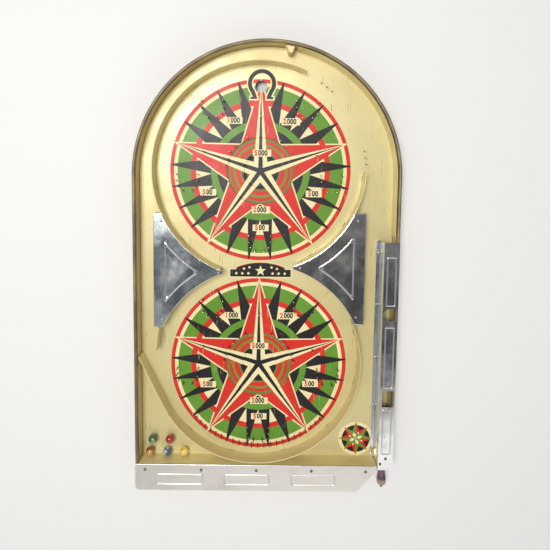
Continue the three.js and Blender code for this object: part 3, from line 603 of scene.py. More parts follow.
def arm_band(x, y, angle, half, tip, start=0.0):
    """A long triangle from the middle of a circle out to its tip."""
    return turned_about([(start, -half), (tip, 0), (start, half)], x, y, angle)


def ring_patch(x, y, inner, outer, middle, half):
    far = arc(x, y, outer, middle - half, middle + half, 10)
    return far + arc(x, y, inner, middle + half, middle - half, 10)


def printed_circle(y):
    """The target: rings, spikes and a five-armed star with a banded core."""
    x = CIRCLE_X
    paint = [
        (disc(x, y, RING, 180), RED_SLOT),
        (disc(x, y, RING * 0.957, 180), CREAM_SLOT),
        (disc(x, y, RING * 0.918, 180), GREEN_SLOT),
        (disc(x, y, RING * 0.772, 144), RED_SLOT),
        (disc(x, y, RING * 0.713, 144), CREAM_SLOT),
    ]
    paint += [(shape, BLACK_SLOT) for shape in spikes(x, y)]
    paint += [
        (disc(x, y, RING * 0.548, 120), GREEN_SLOT),
        (disc(x, y, RING * 0.475, 120), BLACK_SLOT),
        (star_polygon(x, y, RING * 1.012, RING * 0.372), CREAM_SLOT),
    ]
    arms = [90 + 72 * i for i in range(5)]
    paint += [(ring_patch(x, y, RING * 0.713, RING * 0.772, a, 10), RED_SLOT) for a in arms]
    paint.append((star_polygon(x, y, RING * 0.965, RING * 0.353), RED_SLOT))
    core = [(0.368, OLIVE_SLOT), (0.335, RED_SLOT), (0.30, GREEN_SLOT)]
    core += [(0.275, RED_SLOT), (0.222, OLIVE_SLOT)]
    paint += [(disc(x, y, RING * radius, 96), slot) for radius, slot in core]
    paint.append((disc(x, y, RING * 0.205, 96), BLACK_SLOT))
    paint += [(arm_band(x, y, a, RING * 0.083, RING * 0.972), CREAM_SLOT) for a in arms]
    paint += [(arm_band(x, y, a, RING * 0.026, RING * 0.95), BLACK_SLOT) for a in arms]
    paint.append((disc(x, y, RING * 0.026, 16), BLACK_SLOT))
    return paint


def horseshoe(swell):
    """A horseshoe with turned-out feet around the ball hole, open toward the star."""
    x, y = HOLE[0] + 1, HOLE[1] + 4
    bend = arc(x, y, 16.2, -38, 218, 40)
    left_foot = [(x - 10.6, y - 14.5), (x - 9.3, y - 19.2)]
    right_foot = [(x + 9.3, y - 19.2), (x + 10.6, y - 14.5)]
    bar = thick_line(right_foot + bend + left_foot, 2.7 + swell)
    feet = []
    for side in (-1, 1):
        inner, outer = x + side * 6.4, x + side * 15.4
        low, high = y - 20.6, y - 17.8
        feet.append([
            (min(inner, outer) - swell, low - swell), (max(inner, outer) + swell, low - swell),
            (max(inner, outer) + swell, high + swell), (min(inner, outer) - swell, high + swell),
        ])
    return [bar] + feet


def star_banner():
    """A plain cartouche between the circles: a black bar with an arched top, a star and diamonds."""
    x, y = -7.5, 1.5
    bar = lambda grow: rounded_box(x - 42 - grow, x + 42 + grow, y - 9.6 - grow, y + 0.6 + grow, 0.6 + grow)
    crown = lambda grow: (
        arc(x, y - 74, 83.6 + grow, 90 - 23 - grow / 2, 90 + 23 + grow / 2, 18)
        + [(x - 33 - grow, y - 2), (x + 33 + grow, y - 2)]
    )
    paint = [(bar(1.6), CREAM_SLOT), (crown(1.8), CREAM_SLOT), (crown(0.9), RED_SLOT)]
    paint += [(bar(0), BLACK_SLOT), (crown(0), BLACK_SLOT)]
    paint.append((star_polygon(x, y - 1.4, 8.0, 3.2), CREAM_SLOT))
    for i in (-4, -3, -2, 2, 3, 4):
        paint.append((disc(x + i * 8.4, y - 5, 2.1, 4), CREAM_SLOT))
    for i in (-3, -2, 2, 3):
        place = polar(x, y - 74, 79, 90 - i * 5.6)
        paint.append((disc(*place, 2.0, 4), CREAM_SLOT))
    return paint


def compass_rose():
    """A small eight-pointed rose beside the lane, each point half red and half green, with cream petals."""
    x, y = 130.9, -241.4
    paint = [(disc(x, y, 24.6, 72), CREAM_SLOT), (disc(x, y, 20, 64), BLACK_SLOT)]
    for i in range(8):
        angle = 90 + 45 * i
        ahead = polar(x, y, 12.2, angle + 22.5)
        behind = polar(x, y, 12.2, angle - 22.5)
        point = polar(x, y, 24.9 if i % 2 == 0 else 23.6, angle)
        inks = (GREEN_SLOT, RED_SLOT) if i % 2 == 0 else (RED_SLOT, GREEN_SLOT)
        paint.append(([(x, y), point, ahead], inks[0]))
        paint.append(([(x, y), behind, point], inks[1]))
    paint.append((disc(x, y, 7.4, 32), GREEN_SLOT))
    for i in range(4):
        petal = [(0.8, 0), (5.4, -2.7), (9.6, 0.4), (6.0, 2.6)]
        paint.append((turned_about(petal, x, y, 20 + 90 * i), CREAM_SLOT))
        small = [(7.2, 0), (9.0, -1.5), (10.6, 0), (9.0, 1.5)]
        paint.append((turned_about(small, x, y, 67 + 90 * i), CREAM_SLOT))
    return paint


LABELS = [
    (-44.8, 205.7, "1000"), (31.3, 204.7, "2000"), (-7.1, 162.4, "5000"), (-80.1, 108.4, "500"),
    (64.2, 107.6, "500"), (-7.9, 84.9, "2000"), (-7.9, 60.2, "500"),
    (-45.8, -63.3, "1000"), (30.9, -63.3, "2000"), (-8.1, -107.5, "5000"), (-79.7, -163.4, "500"),
    (64.2, -161.4, "500"), (-7.9, -186.9, "2000"), (-7.9, -209.9, "500"),
]


def label_box(x, y, text):
    half, rise = (12.5, 4.8) if text in ("2000", "5000") else (11.0, 4.5)
    return rounded_box(x - half, x + half, y - rise, y + rise, 0.5)


def cup_depth(x, y):
    """How far the sheet is pressed down at a point, in two rounded steps about each circle's middle."""
    nearest = min(math.hypot(x - CIRCLE_X, y - c) for c in (UPPER_Y, LOWER_Y))
    depth = 0.0
    for edge in (CUP, CUP_INNER):
        t = min(max((edge + 0.3 - nearest) / 1.4, 0.0), 1.0)
        depth += CUP_STEP * t * t * (3 - 2 * t)
    return depth


def field_height(x, y):
    return FIELD_Z - cup_depth(x, y)


def field_edge():
    half = CASE_HALF - WALL_INSET - GAP
    clipped = 1.5
    foot = FIELD_BOTTOM + 0.2
    corner = [(-half, foot), (half - clipped, foot), (half, foot + clipped)]
    return corner + arc(0, ARCH_Y, half, 0, 180, 120)


RAIL_TABS = {
    "upper_rail_left": (CIRCLE_X, *LEFT_CIRCLES[0], (70, 98, 128, 158, 190, 222)),
    "upper_rail_right": (CIRCLE_X, *RIGHT_CIRCLES[0], (-6, -34, -60)),
    "left_gusset_rail": (CIRCLE_X, *LEFT_CIRCLES[1], (122, 148)),
    "right_gusset_rail": (CIRCLE_X, *RIGHT_CIRCLES[1], (32, 58)),
    "lower_rail": (-11.0, -124.5, 141.0, (16, -14, -44, -74, -104, -132)),
}


def tab_slots():
    slots = []
    for x, y, radius, angles in RAIL_TABS.values():
        for angle in angles:
            px, py = polar(x, y, radius, angle)
            slots.append(turned_about([(-1.3, -3.6), (1.7, -3.6), (1.7, 3.6), (-1.3, 3.6)], px, py, angle))
    return slots


# Where the sheet's mesh is divided across the slope of each cup, from its edge.
CUP_FOLDS = (0.3, 0, -0.2, -0.4, -0.6, -0.8, -1.1)


def playfield():
    """The printed sheet with its cups, ball hole and tab slots, turned up along the foot."""
    loops = [(field_edge(), None, "edge"), (disc(*HOLE, HOLE_RADIUS, 48), None, "hole")]
    loops += [(slot, None, "hole") for slot in tab_slots()]
    for y in (UPPER_Y, LOWER_Y):
        for edge in (CUP, CUP_INNER):
            loops += [(disc(CIRCLE_X, y, edge + d, 120), None, "fold") for d in CUP_FOLDS]
    paint = printed_circle(UPPER_Y) + printed_circle(LOWER_Y)
    paint += [(shape, CREAM_SLOT) for shape in horseshoe(1.7)]
    paint += [(shape, BLACK_SLOT) for shape in horseshoe(0)]
    paint += star_banner() + compass_rose()
    paint += [(label_box(*label), CREAM_SLOT) for label in LABELS]
    sheet = pressed_sheet("printed_playfield", loops, SHEET, INKS, field_height, paint, BACK_SLOT)
    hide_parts("playfield")
    upturn = Shape()
    top = cad("playfield")[1].z
    half = CASE_HALF - WALL_INSET - GAP
    end = LANE_WALL_X - PLATE - 2 * GAP
    path = [(FIELD_BOTTOM + 0.2, FIELD_Z - SHEET), (FIELD_BOTTOM + 0.2, top - 0.5)]
    rings = []
    for x in (-half, end):
        ring = [(x, path[0][0] - 0.2, path[0][1]), (x, path[1][0] - 0.2, path[1][1])]
        ring += [(x, path[1][0] + 0.1, path[1][1] + 0.45), (x, path[1][0] + 0.5, path[1][1] + 0.3)]
        ring += [(x, path[1][0] + 0.6, path[1][1]), (x, path[0][0] + 0.6, path[0][1] + 0.1)]
        rings.append(ring)
    upturn.loft(rings)
    piece = upturn.build("playfield_upturn", [RAIL_GOLD])
    return sheet


DIGIT = 5.15


def score_numbers():
    """The numerals on the score labels, a film of ink over the print."""
    for number, (x, y, text) in enumerate(LABELS):
        for part, word, ink_used in (("first", text[0], RED), ("rest", text[1:], BLACK)):
            curve = bpy.data.curves.new(f"score_{part}_{number}", "FONT")
            curve.body = word
            curve.size = 9.8 * MM
            curve.extrude = 0.02 * MM
            curve.offset = 0.4 * MM
            curve.space_character = 1.1
            curve.align_y = "CENTER"
            shown = link(bpy.data.objects.new(f"text_{part}_{number}", curve))
            bpy.context.view_layer.update()
            mesh = bpy.data.meshes.new_from_object(shown)
            start = x - DIGIT * len(text) / 2 + (0 if part == "first" else DIGIT)
            z = field_height(x, y) + 0.03
            narrow = Matrix.Diagonal((0.8, 1, 1, 1))
            mesh.transform(Matrix.Translation(Vector((start, y, z)) * MM) @ narrow)
            mesh.materials.clear()
            mesh.materials.append(ink_used)
            bpy.data.objects.remove(shown)
            piece = riding(f"score_{part}_{number}", mesh, "case")


# ---------- case ----------

def fillet(corner, inward, outward, reach, steps):
    start = Vector(corner) - Vector(inward) * reach
    end = Vector(corner) + Vector(outward) * reach
    middle = Vector(corner)
    points = []
    for i in range(steps + 1):
        t = i / steps
        points.append(tuple(start * (1 - t) ** 2 + middle * 2 * t * (1 - t) + end * t * t))
    return points


def case_outline(inset):
    """The rim's outline moved inward; every inset has the same number of points."""
    half = CASE_HALF - inset
    bottom = CASE_BOTTOM + inset
    lane_end = -272.5 + inset
    slant = Vector((157.5 - 129.5, -272.5 - CASE_BOTTOM)).normalized()
    slip = inset * (1 - slant.x) / slant.y
    convex = max(6.0 - inset, 0.8)
    points = fillet((-half, bottom), (0, -1), (1, 0), convex, 8)
    points += fillet((129.5 - slip, bottom), (1, 0), slant, convex, 8)
    points += fillet((157.5 - slip, lane_end), slant, (1, 0), 1 + inset / 2, 6)
    points += fillet((half, lane_end), (1, 0), (0, 1), convex, 8)
    straight = [(half, lane_end + (ARCH_Y - lane_end) * i / 8) for i in range(1, 8)]
    left = [(-half, ARCH_Y + (bottom - ARCH_Y) * i / 8) for i in range(1, 8)]
    return points + straight + arc(0, ARCH_Y, half, 0, 180, 128) + left


def case_shell():
    """The tray's side: a turned-in foot, a plain wall and a hollow bead rolled outward along the top."""
    bead = 2.3
    centre = RIM - bead
    profile = [(8.3, 0.15), (8.6, 0.45), (8.3, WALL), (5.4, WALL), (WALL_INSET, 1.7)]
    profile += [(WALL_INSET, 10), (WALL_INSET, 22), (WALL_INSET, centre - 1)]
    for i in range(13):
        angle = rad(22.5 * i)
        profile.append((bead + bead * math.cos(angle), centre + bead * math.sin(angle)))
    profile += [(WALL_INSET - WALL, centre - bead), (WALL_INSET - WALL, 12), (WALL_INSET - WALL, 1.2)]
    profile += [(WALL_INSET - WALL + 0.9, 0.0)]
    rings = [[(x, y, z) for x, y in case_outline(inset)] for inset, z in profile]
    shell = Shape().loft(rings, closed_along=True)
    piece = shell.build("case_shell", [BRONZE])
    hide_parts("case_band", "case_arch_left", "case_arch_right")
    return weighted(piece)


# ---------- rails ----------

def standing_strip(shape, path, thickness, foot, top):
    """A strip standing on edge along a path, its upper edge rounded over."""
    half = thickness / 2
    profile = [(-half, foot), (half, foot), (half, top - 0.7), (half * 0.8, top - 0.2), (half * 0.3, top)]
    profile += [(-half * 0.3, top), (-half * 0.8, top - 0.2), (-half, top - 0.7)]
    rings = []
    for i, point in enumerate(path):
        p = Vector(point)
        along = (Vector(path[min(i + 1, len(path) - 1)]) - Vector(path[max(i - 1, 0)])).normalized()
        side = Vector((-along.y, along.x))
        rings.append([(p.x + side.x * d, p.y + side.y * d, z) for d, z in profile])
    return shape.loft(rings)


def rail_tabs(shape, x, y, radius, angles):
    """Tabs that pass down through the sheet and are bent over under it."""
    for angle in angles:
        first = len(shape.vertices)
        shape.block((-0.7, 0.7), (-2.9, 2.9), (11.7, FIELD_Z + 3))
        shape.block((-0.7, 4.1), (-2.9, 2.9), (11.7, 12.5))
        px, py = polar(x, y, radius, angle)
        shape.moved(first, angle, px, py)


def rail_piece(shape, node):
    piece = shape.build(f"{node}_strip", [RAIL_GOLD])
    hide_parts(node)


def circle_rail(node, start, end):
    x, y, radius, angles = RAIL_TABS[node]
    steps = max(8, round(abs(end - start) / 2))
    shape = Shape()
    standing_strip(shape, arc(x, y, radius, start, end, steps), 1.5, FIELD_Z + 0.1, RAIL_TOP)
    rail_tabs(shape, x, y, radius, angles)
    rail_piece(shape, node)


def lower_rail():
    x, y, radius, angles = RAIL_TABS["lower_rail"]
    tangent = 206
    bend = arc(x, y, radius, tangent - 360, 24, 120)
    wall_x = -CASE_HALF + WALL_INSET + 1.6
    start = Vector(polar(x, y, radius, tangent))
    climb = Vector((math.sin(rad(tangent)), -math.cos(rad(tangent))))
    end = start + climb * ((wall_x - start.x) / climb.x)
    diagonal = [tuple(end.lerp(start, i / 8)) for i in range(8)]
    shape = Shape()
    standing_strip(shape, diagonal + bend, 1.5, FIELD_Z + 0.1, RAIL_TOP)
    rail_tabs(shape, x, y, radius, angles)
    rail_piece(shape, "lower_rail")


def short_rail():
    shape = Shape()
    ends = (Vector((-144.6, -74.5)), Vector((-148.5, -108)))
    path = [tuple(ends[0].lerp(ends[1], i / 6)) for i in range(7)]
    standing_strip(shape, path, 1.5, FIELD_Z + 0.1, RAIL_TOP)
    rail_piece(shape, "lower_left_rail")


def runway_liner():
    """The plain strip inside the wall, with its rolled top edge, from the lane round to the stop."""
    low, high = cad("runway_liner")
    radius = CASE_HALF - 5.8
    straight = [(radius, low.y + (ARCH_Y - low.y) * i / 6) for i in range(6)]
    path = straight + arc(0, ARCH_Y, radius, 0, 77, 52)
    shape = Shape()
    standing_strip(shape, path, PLATE, FIELD_Z + 0.1, high.z)
    rail_piece(shape, "runway_liner")


def rebound_stop():
    """A stout tab folded over at the end of the runway, with its edges rounded."""
    high = cad("rebound_stop")[1]
    angle = 80.4
    px, py = polar(0, ARCH_Y, CASE_HALF - WALL_INSET - 0.4, angle)
    outline = [(-0.3, -5.2), (-1.2, -5.9), (-8.4, -4.4), (-9.9, -1.5)]
    outline += [(-9.1, 1.1), (-6.4, 2.2), (-2.4, 4.3), (-0.3, 6.8)]
    rings = []
    for z, shrink in ((FIELD_Z + 0.3, 1.0), (high.z - 1.2, 1.0), (high.z - 0.5, 0.97), (high.z, 0.86)):
        points = [(-4.5 + (a + 4.5) * shrink, b * shrink) for a, b in outline]
        rings.append([(x, y, z) for x, y in turned_about(points, px, py, angle)])
    piece = Shape().loft(rings).build("rebound_stop_fold", [RAIL_GOLD])
    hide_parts("rebound_stop")


# ---------- gussets ----------

GUSSET_HALF_WIDTH = 141.3
GUSSET_BORDER = 15
GUSSET_RIVET_X = 130.5
GUSSET_TIP_RIVET_X = 54.6
GUSSET_RIVET_MARGIN = 10


def gusset_outline(node, shrink, top, bottom):
    """A triangle with one straight side and two hollow ones that follow the circles."""
    side, _, _, tip, _, circles = GUSSETS[node]

    def hollow(circle, start, end):
        radius = circle[1] - 0.6 + shrink
        a, b = (math.degrees(math.asin((v - circle[0]) / radius)) for v in (start, end))
        return arc(0, circle[0], radius, a, b, 24)

    straight = GUSSET_HALF_WIDTH - shrink
    points = [(straight, bottom + (top - bottom) * i / 6) for i in range(7)]
    points += hollow(circles[0], top, tip + 1.8) + hollow(circles[1], tip - 1.8, bottom)
    return [(CIRCLE_X + side * x, y) for x, y in points]


def gusset(node):
    """The bridging plate with a pressed ridge around its middle and a skirt down its straight side."""
    side, top, bottom, tip, panel, _ = GUSSETS[node]
    z = cad(node)[1].z - 0.8
    loops = [(gusset_outline(node, 0.2, top - 0.2, bottom + 0.2), z - 0.16, "edge")]
    loops.append((gusset_outline(node, 0.6, top - 0.6, bottom + 0.6), z - 0.04, "fold"))
    loops.append((gusset_outline(node, 1.1, top - 1.1, bottom + 1.1), z, "fold"))
    for inset, rise in ((-0.6, 0), (-0.1, 0.45), (0.4, 0.72), (1.0, 0.72), (1.5, 0.45), (2.0, 0.1)):
        outline = gusset_outline(node, GUSSET_BORDER + inset, panel[0] - 3 * inset, panel[1] + 3 * inset)
        loops.append((outline, z + rise, "fold"))
    outer = CIRCLE_X + side * GUSSET_RIVET_X
    rivets = [(outer, top - GUSSET_RIVET_MARGIN), (outer, bottom + GUSSET_RIVET_MARGIN)]
    rivets.append((CIRCLE_X + side * GUSSET_TIP_RIVET_X, tip))
    loops += [(disc(*place, 1.4, 16), z, "hole") for place in rivets]
    piece = pressed_sheet(f"{node}_plate", loops, 0.7, [TIN])
    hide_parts(node)
    edge = CIRCLE_X + side * GUSSET_HALF_WIDTH
    skirt = Shape()
    path = [(edge - side * 0.45, top - 0.2 + (bottom - top + 0.4) * i / 8) for i in range(9)]
    standing_strip(skirt, path, 0.7, FIELD_Z + 0.3, z)
    skirt_piece = skirt.build(f"{node}_skirt", [TIN])
    for word, (x, y) in zip(("top", "bottom", "tip"), rivets):
        rivet(f"{node}_rivet_{word}", x, y, z)


def rivet(node, x, y, seat):
    """A domed rivet on a plain shoulder."""
    low = cad(node)[0]
    profile = [(0, low.z), (1.7, low.z), (2.0, low.z + 0.4), (1.1, low.z + 0.9), (1.1, FIELD_Z + 0.3)]
    profile += [(2.1, FIELD_Z + 0.4), (2.1, seat - 1.2), (1.1, seat - 1.1), (1.1, seat + 0.1)]
    profile += [(1.85, seat + 0.15), (1.8, seat + 0.45), (1.5, seat + 0.85)]
    profile += [(0.8, seat + 1.15), (0, seat + 1.2)]
    piece = Shape().lathe(profile, (x, y, 0), sides=28).build(f"{node}_turned", [STEEL])
    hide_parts(node)


# ---------- ball lane ----------

def ridge(x0, x1, y0, y1, z, radius=2.2):
    """Nested folds that press a rounded line around a rectangle."""
    steps = ((0.0, 0.0), (0.4, 0.4), (0.8, 0.62), (1.3, 0.62), (1.7, 0.4), (2.1, 0.1))
    loops = []
    for inset, rise in steps:
        outline = rounded_box(x0 + inset, x1 - inset, y0 + inset, y1 - inset, max(radius - inset, 0.3), 5)
        loops.append((outline, z + rise, "fold"))
    return loops


def lane_cover():
    """The cover's top with its pressed panels, feed hole and window, its wall and its riveted foot."""
    low, high = cad("lane_cover")
    z = COVER_Z + PLATE
    sheet_x = LANE_WALL_X - PLATE
    top = [(sheet_x + 0.7, low.y), (high.x, low.y), (high.x, high.y), (sheet_x + 0.7, high.y)]
    loops = [(top, z, "edge")]
    for y0, y1 in ((-41.4, 26.2), (-155.4, -69.1), (-249.7, -184.5)):
        loops += ridge(160.8, 174.4, y0, y1, z)
    loops.append((disc(167.8, -52.5, 9.0, 64), z, "hole"))
    loops.append((rounded_box(160.2, 176.0, -181.6, -158.6, 0.8), z, "hole"))
    for x, y in ((167.6, -255.4), (160.4, -263)):
        loops.append((disc(x, y, 1.4, 16), z, "hole"))
    piece = pressed_sheet("lane_cover_top", loops, 0.7, [TIN])
    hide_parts("lane_cover")
    fold = [(sheet_x + 0.75, z), (sheet_x + 0.35, z - 0.1), (sheet_x + 0.1, z - 0.35), (sheet_x, z - 0.75)]
    fold += [(sheet_x, FIELD_Z + 1.9), (sheet_x - 0.4, FIELD_Z + 1.2), (sheet_x - 1.1, FIELD_Z + 1.0)]
    fold += [(LANE_FOOT_X, FIELD_Z + 1.0), (LANE_FOOT_X, FIELD_Z + 0.3), (sheet_x - 0.4, FIELD_Z + 0.3)]
    fold += [(sheet_x + 0.7, FIELD_Z + 1.2), (sheet_x + 0.7, z - 0.75)]
    foot_y = low.y + 5.6
    rings = [[(x, foot_y + (high.y - foot_y) * i / 40, h) for x, h in fold] for i in range(41)]
    rings[-1] = [(x, y if x > sheet_x - 0.5 else LANE_FOOT_TOP, h) for x, y, h in rings[-1]]
    wall = weighted(Shape().loft(rings).build("lane_cover_wall", [TIN]))
    rivets = Shape()
    for y in (28, -45, -121, -190, -254):
        seat = FIELD_Z + 1.0
        dome = [(0, 11.9), (1.8, 11.9), (1.95, 12.3), (1.2, 12.7), (1.2, seat), (1.75, seat + 0.05)]
        dome += [(1.7, seat + 0.4), (1.3, seat + 0.8), (0.7, seat + 1.0), (0, seat + 1.05)]
        rivets.lathe(dome, (154.4, y, 0), sides=24)
    heads = rivets.build("lane_cover_rivets", [STEEL])


def slotted_screw(node, turn):
    """A domed screw with a slot across its head."""
    low, high = cad(node)
    x, y = (low.x + high.x) / 2, (low.y + high.y) / 2
    seat = COVER_Z + PLATE + 0.1
    top = high.z
    profile = [(0, low.z), (1.1, low.z + 1), (1.1, seat), (1.95, seat), (1.9, seat + 0.4)]
    profile += [(1.65, seat + 0.8), (1.1, top - 0.05), (0.4, top), (0, top)]
    piece = Shape().lathe(profile, (x, y, 0), sides=32).build(f"{node}_head", [DARK_STEEL])
    first = Shape()
    first.block((-3, 3), (-0.32, 0.32), (top - 0.55, top + 1))
    first.moved(0, turn, x, y)
    cutter = first.build("slot_cutter", [DARK_STEEL])
    cut = piece.modifiers.new("slot", "BOOLEAN")
    cut.operation = "DIFFERENCE"
    cut.solver = "EXACT"
    cut.object = cutter
    bpy.context.view_layer.update()
    shown = piece.evaluated_get(bpy.context.evaluated_depsgraph_get())
    mesh = bpy.data.meshes.new_from_object(shown)
    piece.modifiers.clear()
    piece.data = mesh
    shaded(mesh)
    bpy.data.objects.remove(cutter)
    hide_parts(node)


# ---------- apron ----------

def apron():
    """The plate over the foot of the case, with pressed panels and a rolled lip toward the playfield."""
    low = cad("apron")[0]
    z = COVER_Z + PLATE
    end = LANE_WALL_X - 1.3
    edge = [p for p in case_outline(0.4)[:26] if p[0] <= end]
    outline = edge + [(end, -272.1), (end, -267.0), (-CASE_HALF + 0.4, -267.0)]
    loops = [(outline, z, "edge")]
    for x0, x1 in ((-149.6, -83.4), (-55.5, 8.4), (37.4, 99.3)):
        loops += ridge(x0, x1, -296.5, -280.2, z, 4.0)
    for x in (-164, -86.5, -10.3, 65.8, 140.7):
        loops.append((disc(x, -274.5, 1.4, 16), z, "hole"))
    piece = pressed_sheet("apron_plate", loops, 0.7, [SATIN])
    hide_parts("apron")
    lip = Shape()
    roll = disc(-267.1, z, 0.9, 12)
    rings = []
    for i in range(41):
        x = low.x + 0.5 + (end - 0.6 - low.x) * i / 40
        rings.append([(x, y, height) for y, height in roll])
    lip.loft(rings)
    lip_piece = lip.build("apron_lip", [SATIN])


# ---------- plunger ----------

PLUNGER_X = 167.3
PLUNGER_Z = 21.4


def turned_piece(node, profile, body, sides, hollow=False, material=STEEL):
    """A piece turned about the plunger's axis, with heights measured down from the node's upper end."""
    centre = (PLUNGER_X, cad(node)[1].y, PLUNGER_Z)
    shape = Shape().lathe(profile, centre, "y", sides, hollow)
    piece = shape.build(f"{node}_turned", [material], body=body)
    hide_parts(node)


def plunger():
    striker = [(0, 0), (2.2, 0.1), (3.6, 0.5), (4.4, 1.3), (4.6, 2.2)]
    striker += [(4.6, 5.3), (4.3, 5.6), (2.1, 5.6), (2.1, 3.4), (0, 3.4)]
    turned_piece("plunger_striker", striker, "plunger", 40)
    collar = [(2.05, 0.1), (4.4, 0), (4.6, 0.2), (4.6, 1.4), (4.4, 1.6), (2.05, 1.5)]
    turned_piece("plunger_collar", collar, "plunger", 40, hollow=True)
    low, high = cad("plunger_rod")
    length = high.y - low.y
    rod = [(0, 0), (1.7, 0), (2.0, 0.3)]
    rod += [(2.0, length * i / 10) for i in range(1, 10)]
    rod += [(2.0, length - 0.3), (0, length)]
    turned_piece("plunger_rod", rod, "plunger", 28)
    socket = [(0, 12), (2.2, 12), (2.2, 0.2)]
    bell = [(4.0, 0), (4.3, 0.3), (4.55, 1.2), (4.6, 2.5), (4.45, 4.2), (4.4, 6), (4.6, 8.5)]
    bell += [(5.0, 11), (5.5, 14), (6.1, 17), (6.45, 19.5), (6.6, 22), (6.6, 23.2)]
    bell += [(6.1, 23.5), (6.1, 24.1), (6.5, 24.4), (6.3, 25.6), (5.7, 27.2), (4.6, 28.4)]
    finial = [(3.2, 29.2), (2, 29.6), (1.55, 30.1), (1.6, 30.6), (1.9, 31.2)]
    finial += [(1.85, 32), (1.4, 32.7), (0.6, 33), (0, 33)]
    knob = socket + bell + finial
    turned_piece("plunger_knob", knob, "plunger", 48, material=KNOB)


def plunger_seat():
    """The bush in the end wall and the nut outside it."""
    low, high = cad("plunger_bush")
    depth = high.y - low.y
    bush = [(2.25, 0.2), (2.6, 0), (5.2, 0), (5.4, 0.2), (5.4, 0.9)]
    bush += [(3.1, 1.0), (3.1, depth), (2.25, depth)]
    turned_piece("plunger_bush", bush, "case", 36, hollow=True)
    low, high = cad("plunger_nut")
    thick = high.y - low.y
    turned_piece("plunger_nut", [(3.4, 0), (6.0, 0), (6.0, thick), (3.4, thick)], "case", 6, hollow=True)


def swept_wire(shape, path, radius, sides=10):
    """A round wire along a path of points in space."""
    rings = []
    up = Vector((0, 0, 1))
    for i, point in enumerate(path):
        p = Vector(point)
        along = (Vector(path[min(i + 1, len(path) - 1)]) - Vector(path[max(i - 1, 0)])).normalized()
        if abs(along.dot(up)) > 0.95:
            up = Vector((1, 0, 0))
        side = along.cross(up).normalized()
        top = side.cross(along)
        rings.append([tuple(p + side * a + top * b) for a, b in disc(0, 0, radius, sides)])
    return shape.loft(rings)


def plunger_spring():
    low, high = cad("plunger_spring")
    turns = 13
    path = []
    length = high.y - low.y - 1.2
    for i in range(turns * 16 + 1):
        angle = 360 * i / 16
        a, b = polar(0, 0, 3.6, angle)
        path.append((PLUNGER_X + a, high.y - 0.6 - length * i / (turns * 16), PLUNGER_Z + b))
    piece = swept_wire(Shape(), path, 0.48, 8).build("plunger_spring_coil", [STEEL], body="plunger")
    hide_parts("plunger_spring")
    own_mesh(piece)


# ---------- pins ----------

def pins_of(node):
    """The places of a comb's pins, from the tops of its posts."""
    top = cad(node)[1].z
    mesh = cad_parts[node].data
    heads = [v.co / MM for v in mesh.vertices if v.co.z / MM > top - 0.1]
    places = []
    for head in heads:
        near = [p for p in places if math.hypot(p[0] - head.x, p[1] - head.y) < 2.5]
        if near:
            near[0][2].append((head.x, head.y))
        else:
            places.append((head.x, head.y, [(head.x, head.y)]))
    middles = []
    for _, _, points in places:
        unique = list({(round(x, 3), round(y, 3)) for x, y in points})
        middles.append((sum(p[0] for p in unique) / len(unique), sum(p[1] for p in unique) / len(unique)))
    return middles


PIN_RADIUS = 0.74
PIN_TIP_RADIUS = 0.76


def pins(node):
    """Round wire pins driven through the sheet, each leaning a little, their ends clinched under it."""
    top = cad(node)[1].z
    shape = Shape()
    chance = random.Random(node)
    for x, y in pins_of(node):
        lean_x, lean_y = chance.uniform(-0.25, 0.25), chance.uniform(-0.25, 0.25)
        floor = field_height(x, y)
        profile = [(1.1, floor - 2.2), (1.15, floor - 1.6)]
        profile += [(PIN_RADIUS, z) for z in (floor - 1.1, floor + 0.1, floor + 8, top - 1.0)]
        profile.append((0.4, top - 0.9))
        tip = [(0.4, top - 1.1), (PIN_TIP_RADIUS, top - 0.95), (PIN_TIP_RADIUS, top - 0.5)]
        tip += [(0.5, top - 0.12), (0.1, top)]
        for slot, rows in enumerate((profile, tip)):
            rings = []
            for radius, z in rows:
                t = max(0.0, (z - floor) / (top - floor))
                rings.append([(px + lean_x * t, py + lean_y * t, z) for px, py in disc(x, y, radius, 12)])
            shape.loft(rings, slot)
    # The shank takes the near-black wire of painted shade, and the head takes the pale tip of painted
    # highlight.
    piece = shape.build(f"{node}_wires", [PIN_SHADE_PAINTED_WIRE, PIN_HIGHLIGHT_PAINTED_TIP])
    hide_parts(node)


# ---------- marbles ----------

MARBLE_RADIUS = 6.25
MARBLES = {
    "yellow": ((0.78, 0.55, 0.03), (0.90, 0.74, 0.20)),
    "blue": ((0.09, 0.12, 0.17), (0.45, 0.52, 0.58)),
    "amber": ((0.28, 0.10, 0.02), (0.62, 0.36, 0.10)),
    "green": ((0.06, 0.13, 0.06), (0.32, 0.45, 0.25)),
    "red": ((0.38, 0.03, 0.02), (0.75, 0.42, 0.35)),
}


def marble(word, colour, streak):
    node = f"marble_{word}"
    low, high = cad(node)
    centre = (low + high) / 2
    mesh = bpy.data.meshes.new(f"{node}_ball")
    shape = bmesh.new()
    bmesh.ops.create_uvsphere(shape, u_segments=48, v_segments=28, radius=MARBLE_RADIUS * MM)
    turn = Matrix.Rotation(rad(sum(map(ord, word)) % 180), 4, (0.3, 0.8, 0.5))
    shape.transform(Matrix.Translation(centre * MM) @ turn)
    shape.to_mesh(mesh)
    shape.free()
    mesh.shade_smooth()
    mesh.materials.append(marble_glass(f"{word}_marble_glass", colour, streak))
    piece = riding(f"{node}_ball", mesh, node)
    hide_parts(node)


# ---------- prop stand ----------

STAND_HINGE_Y = 196.0
STAND_LENGTH = 128.0
STAND_LEG_X = 78
STAND_END = 104


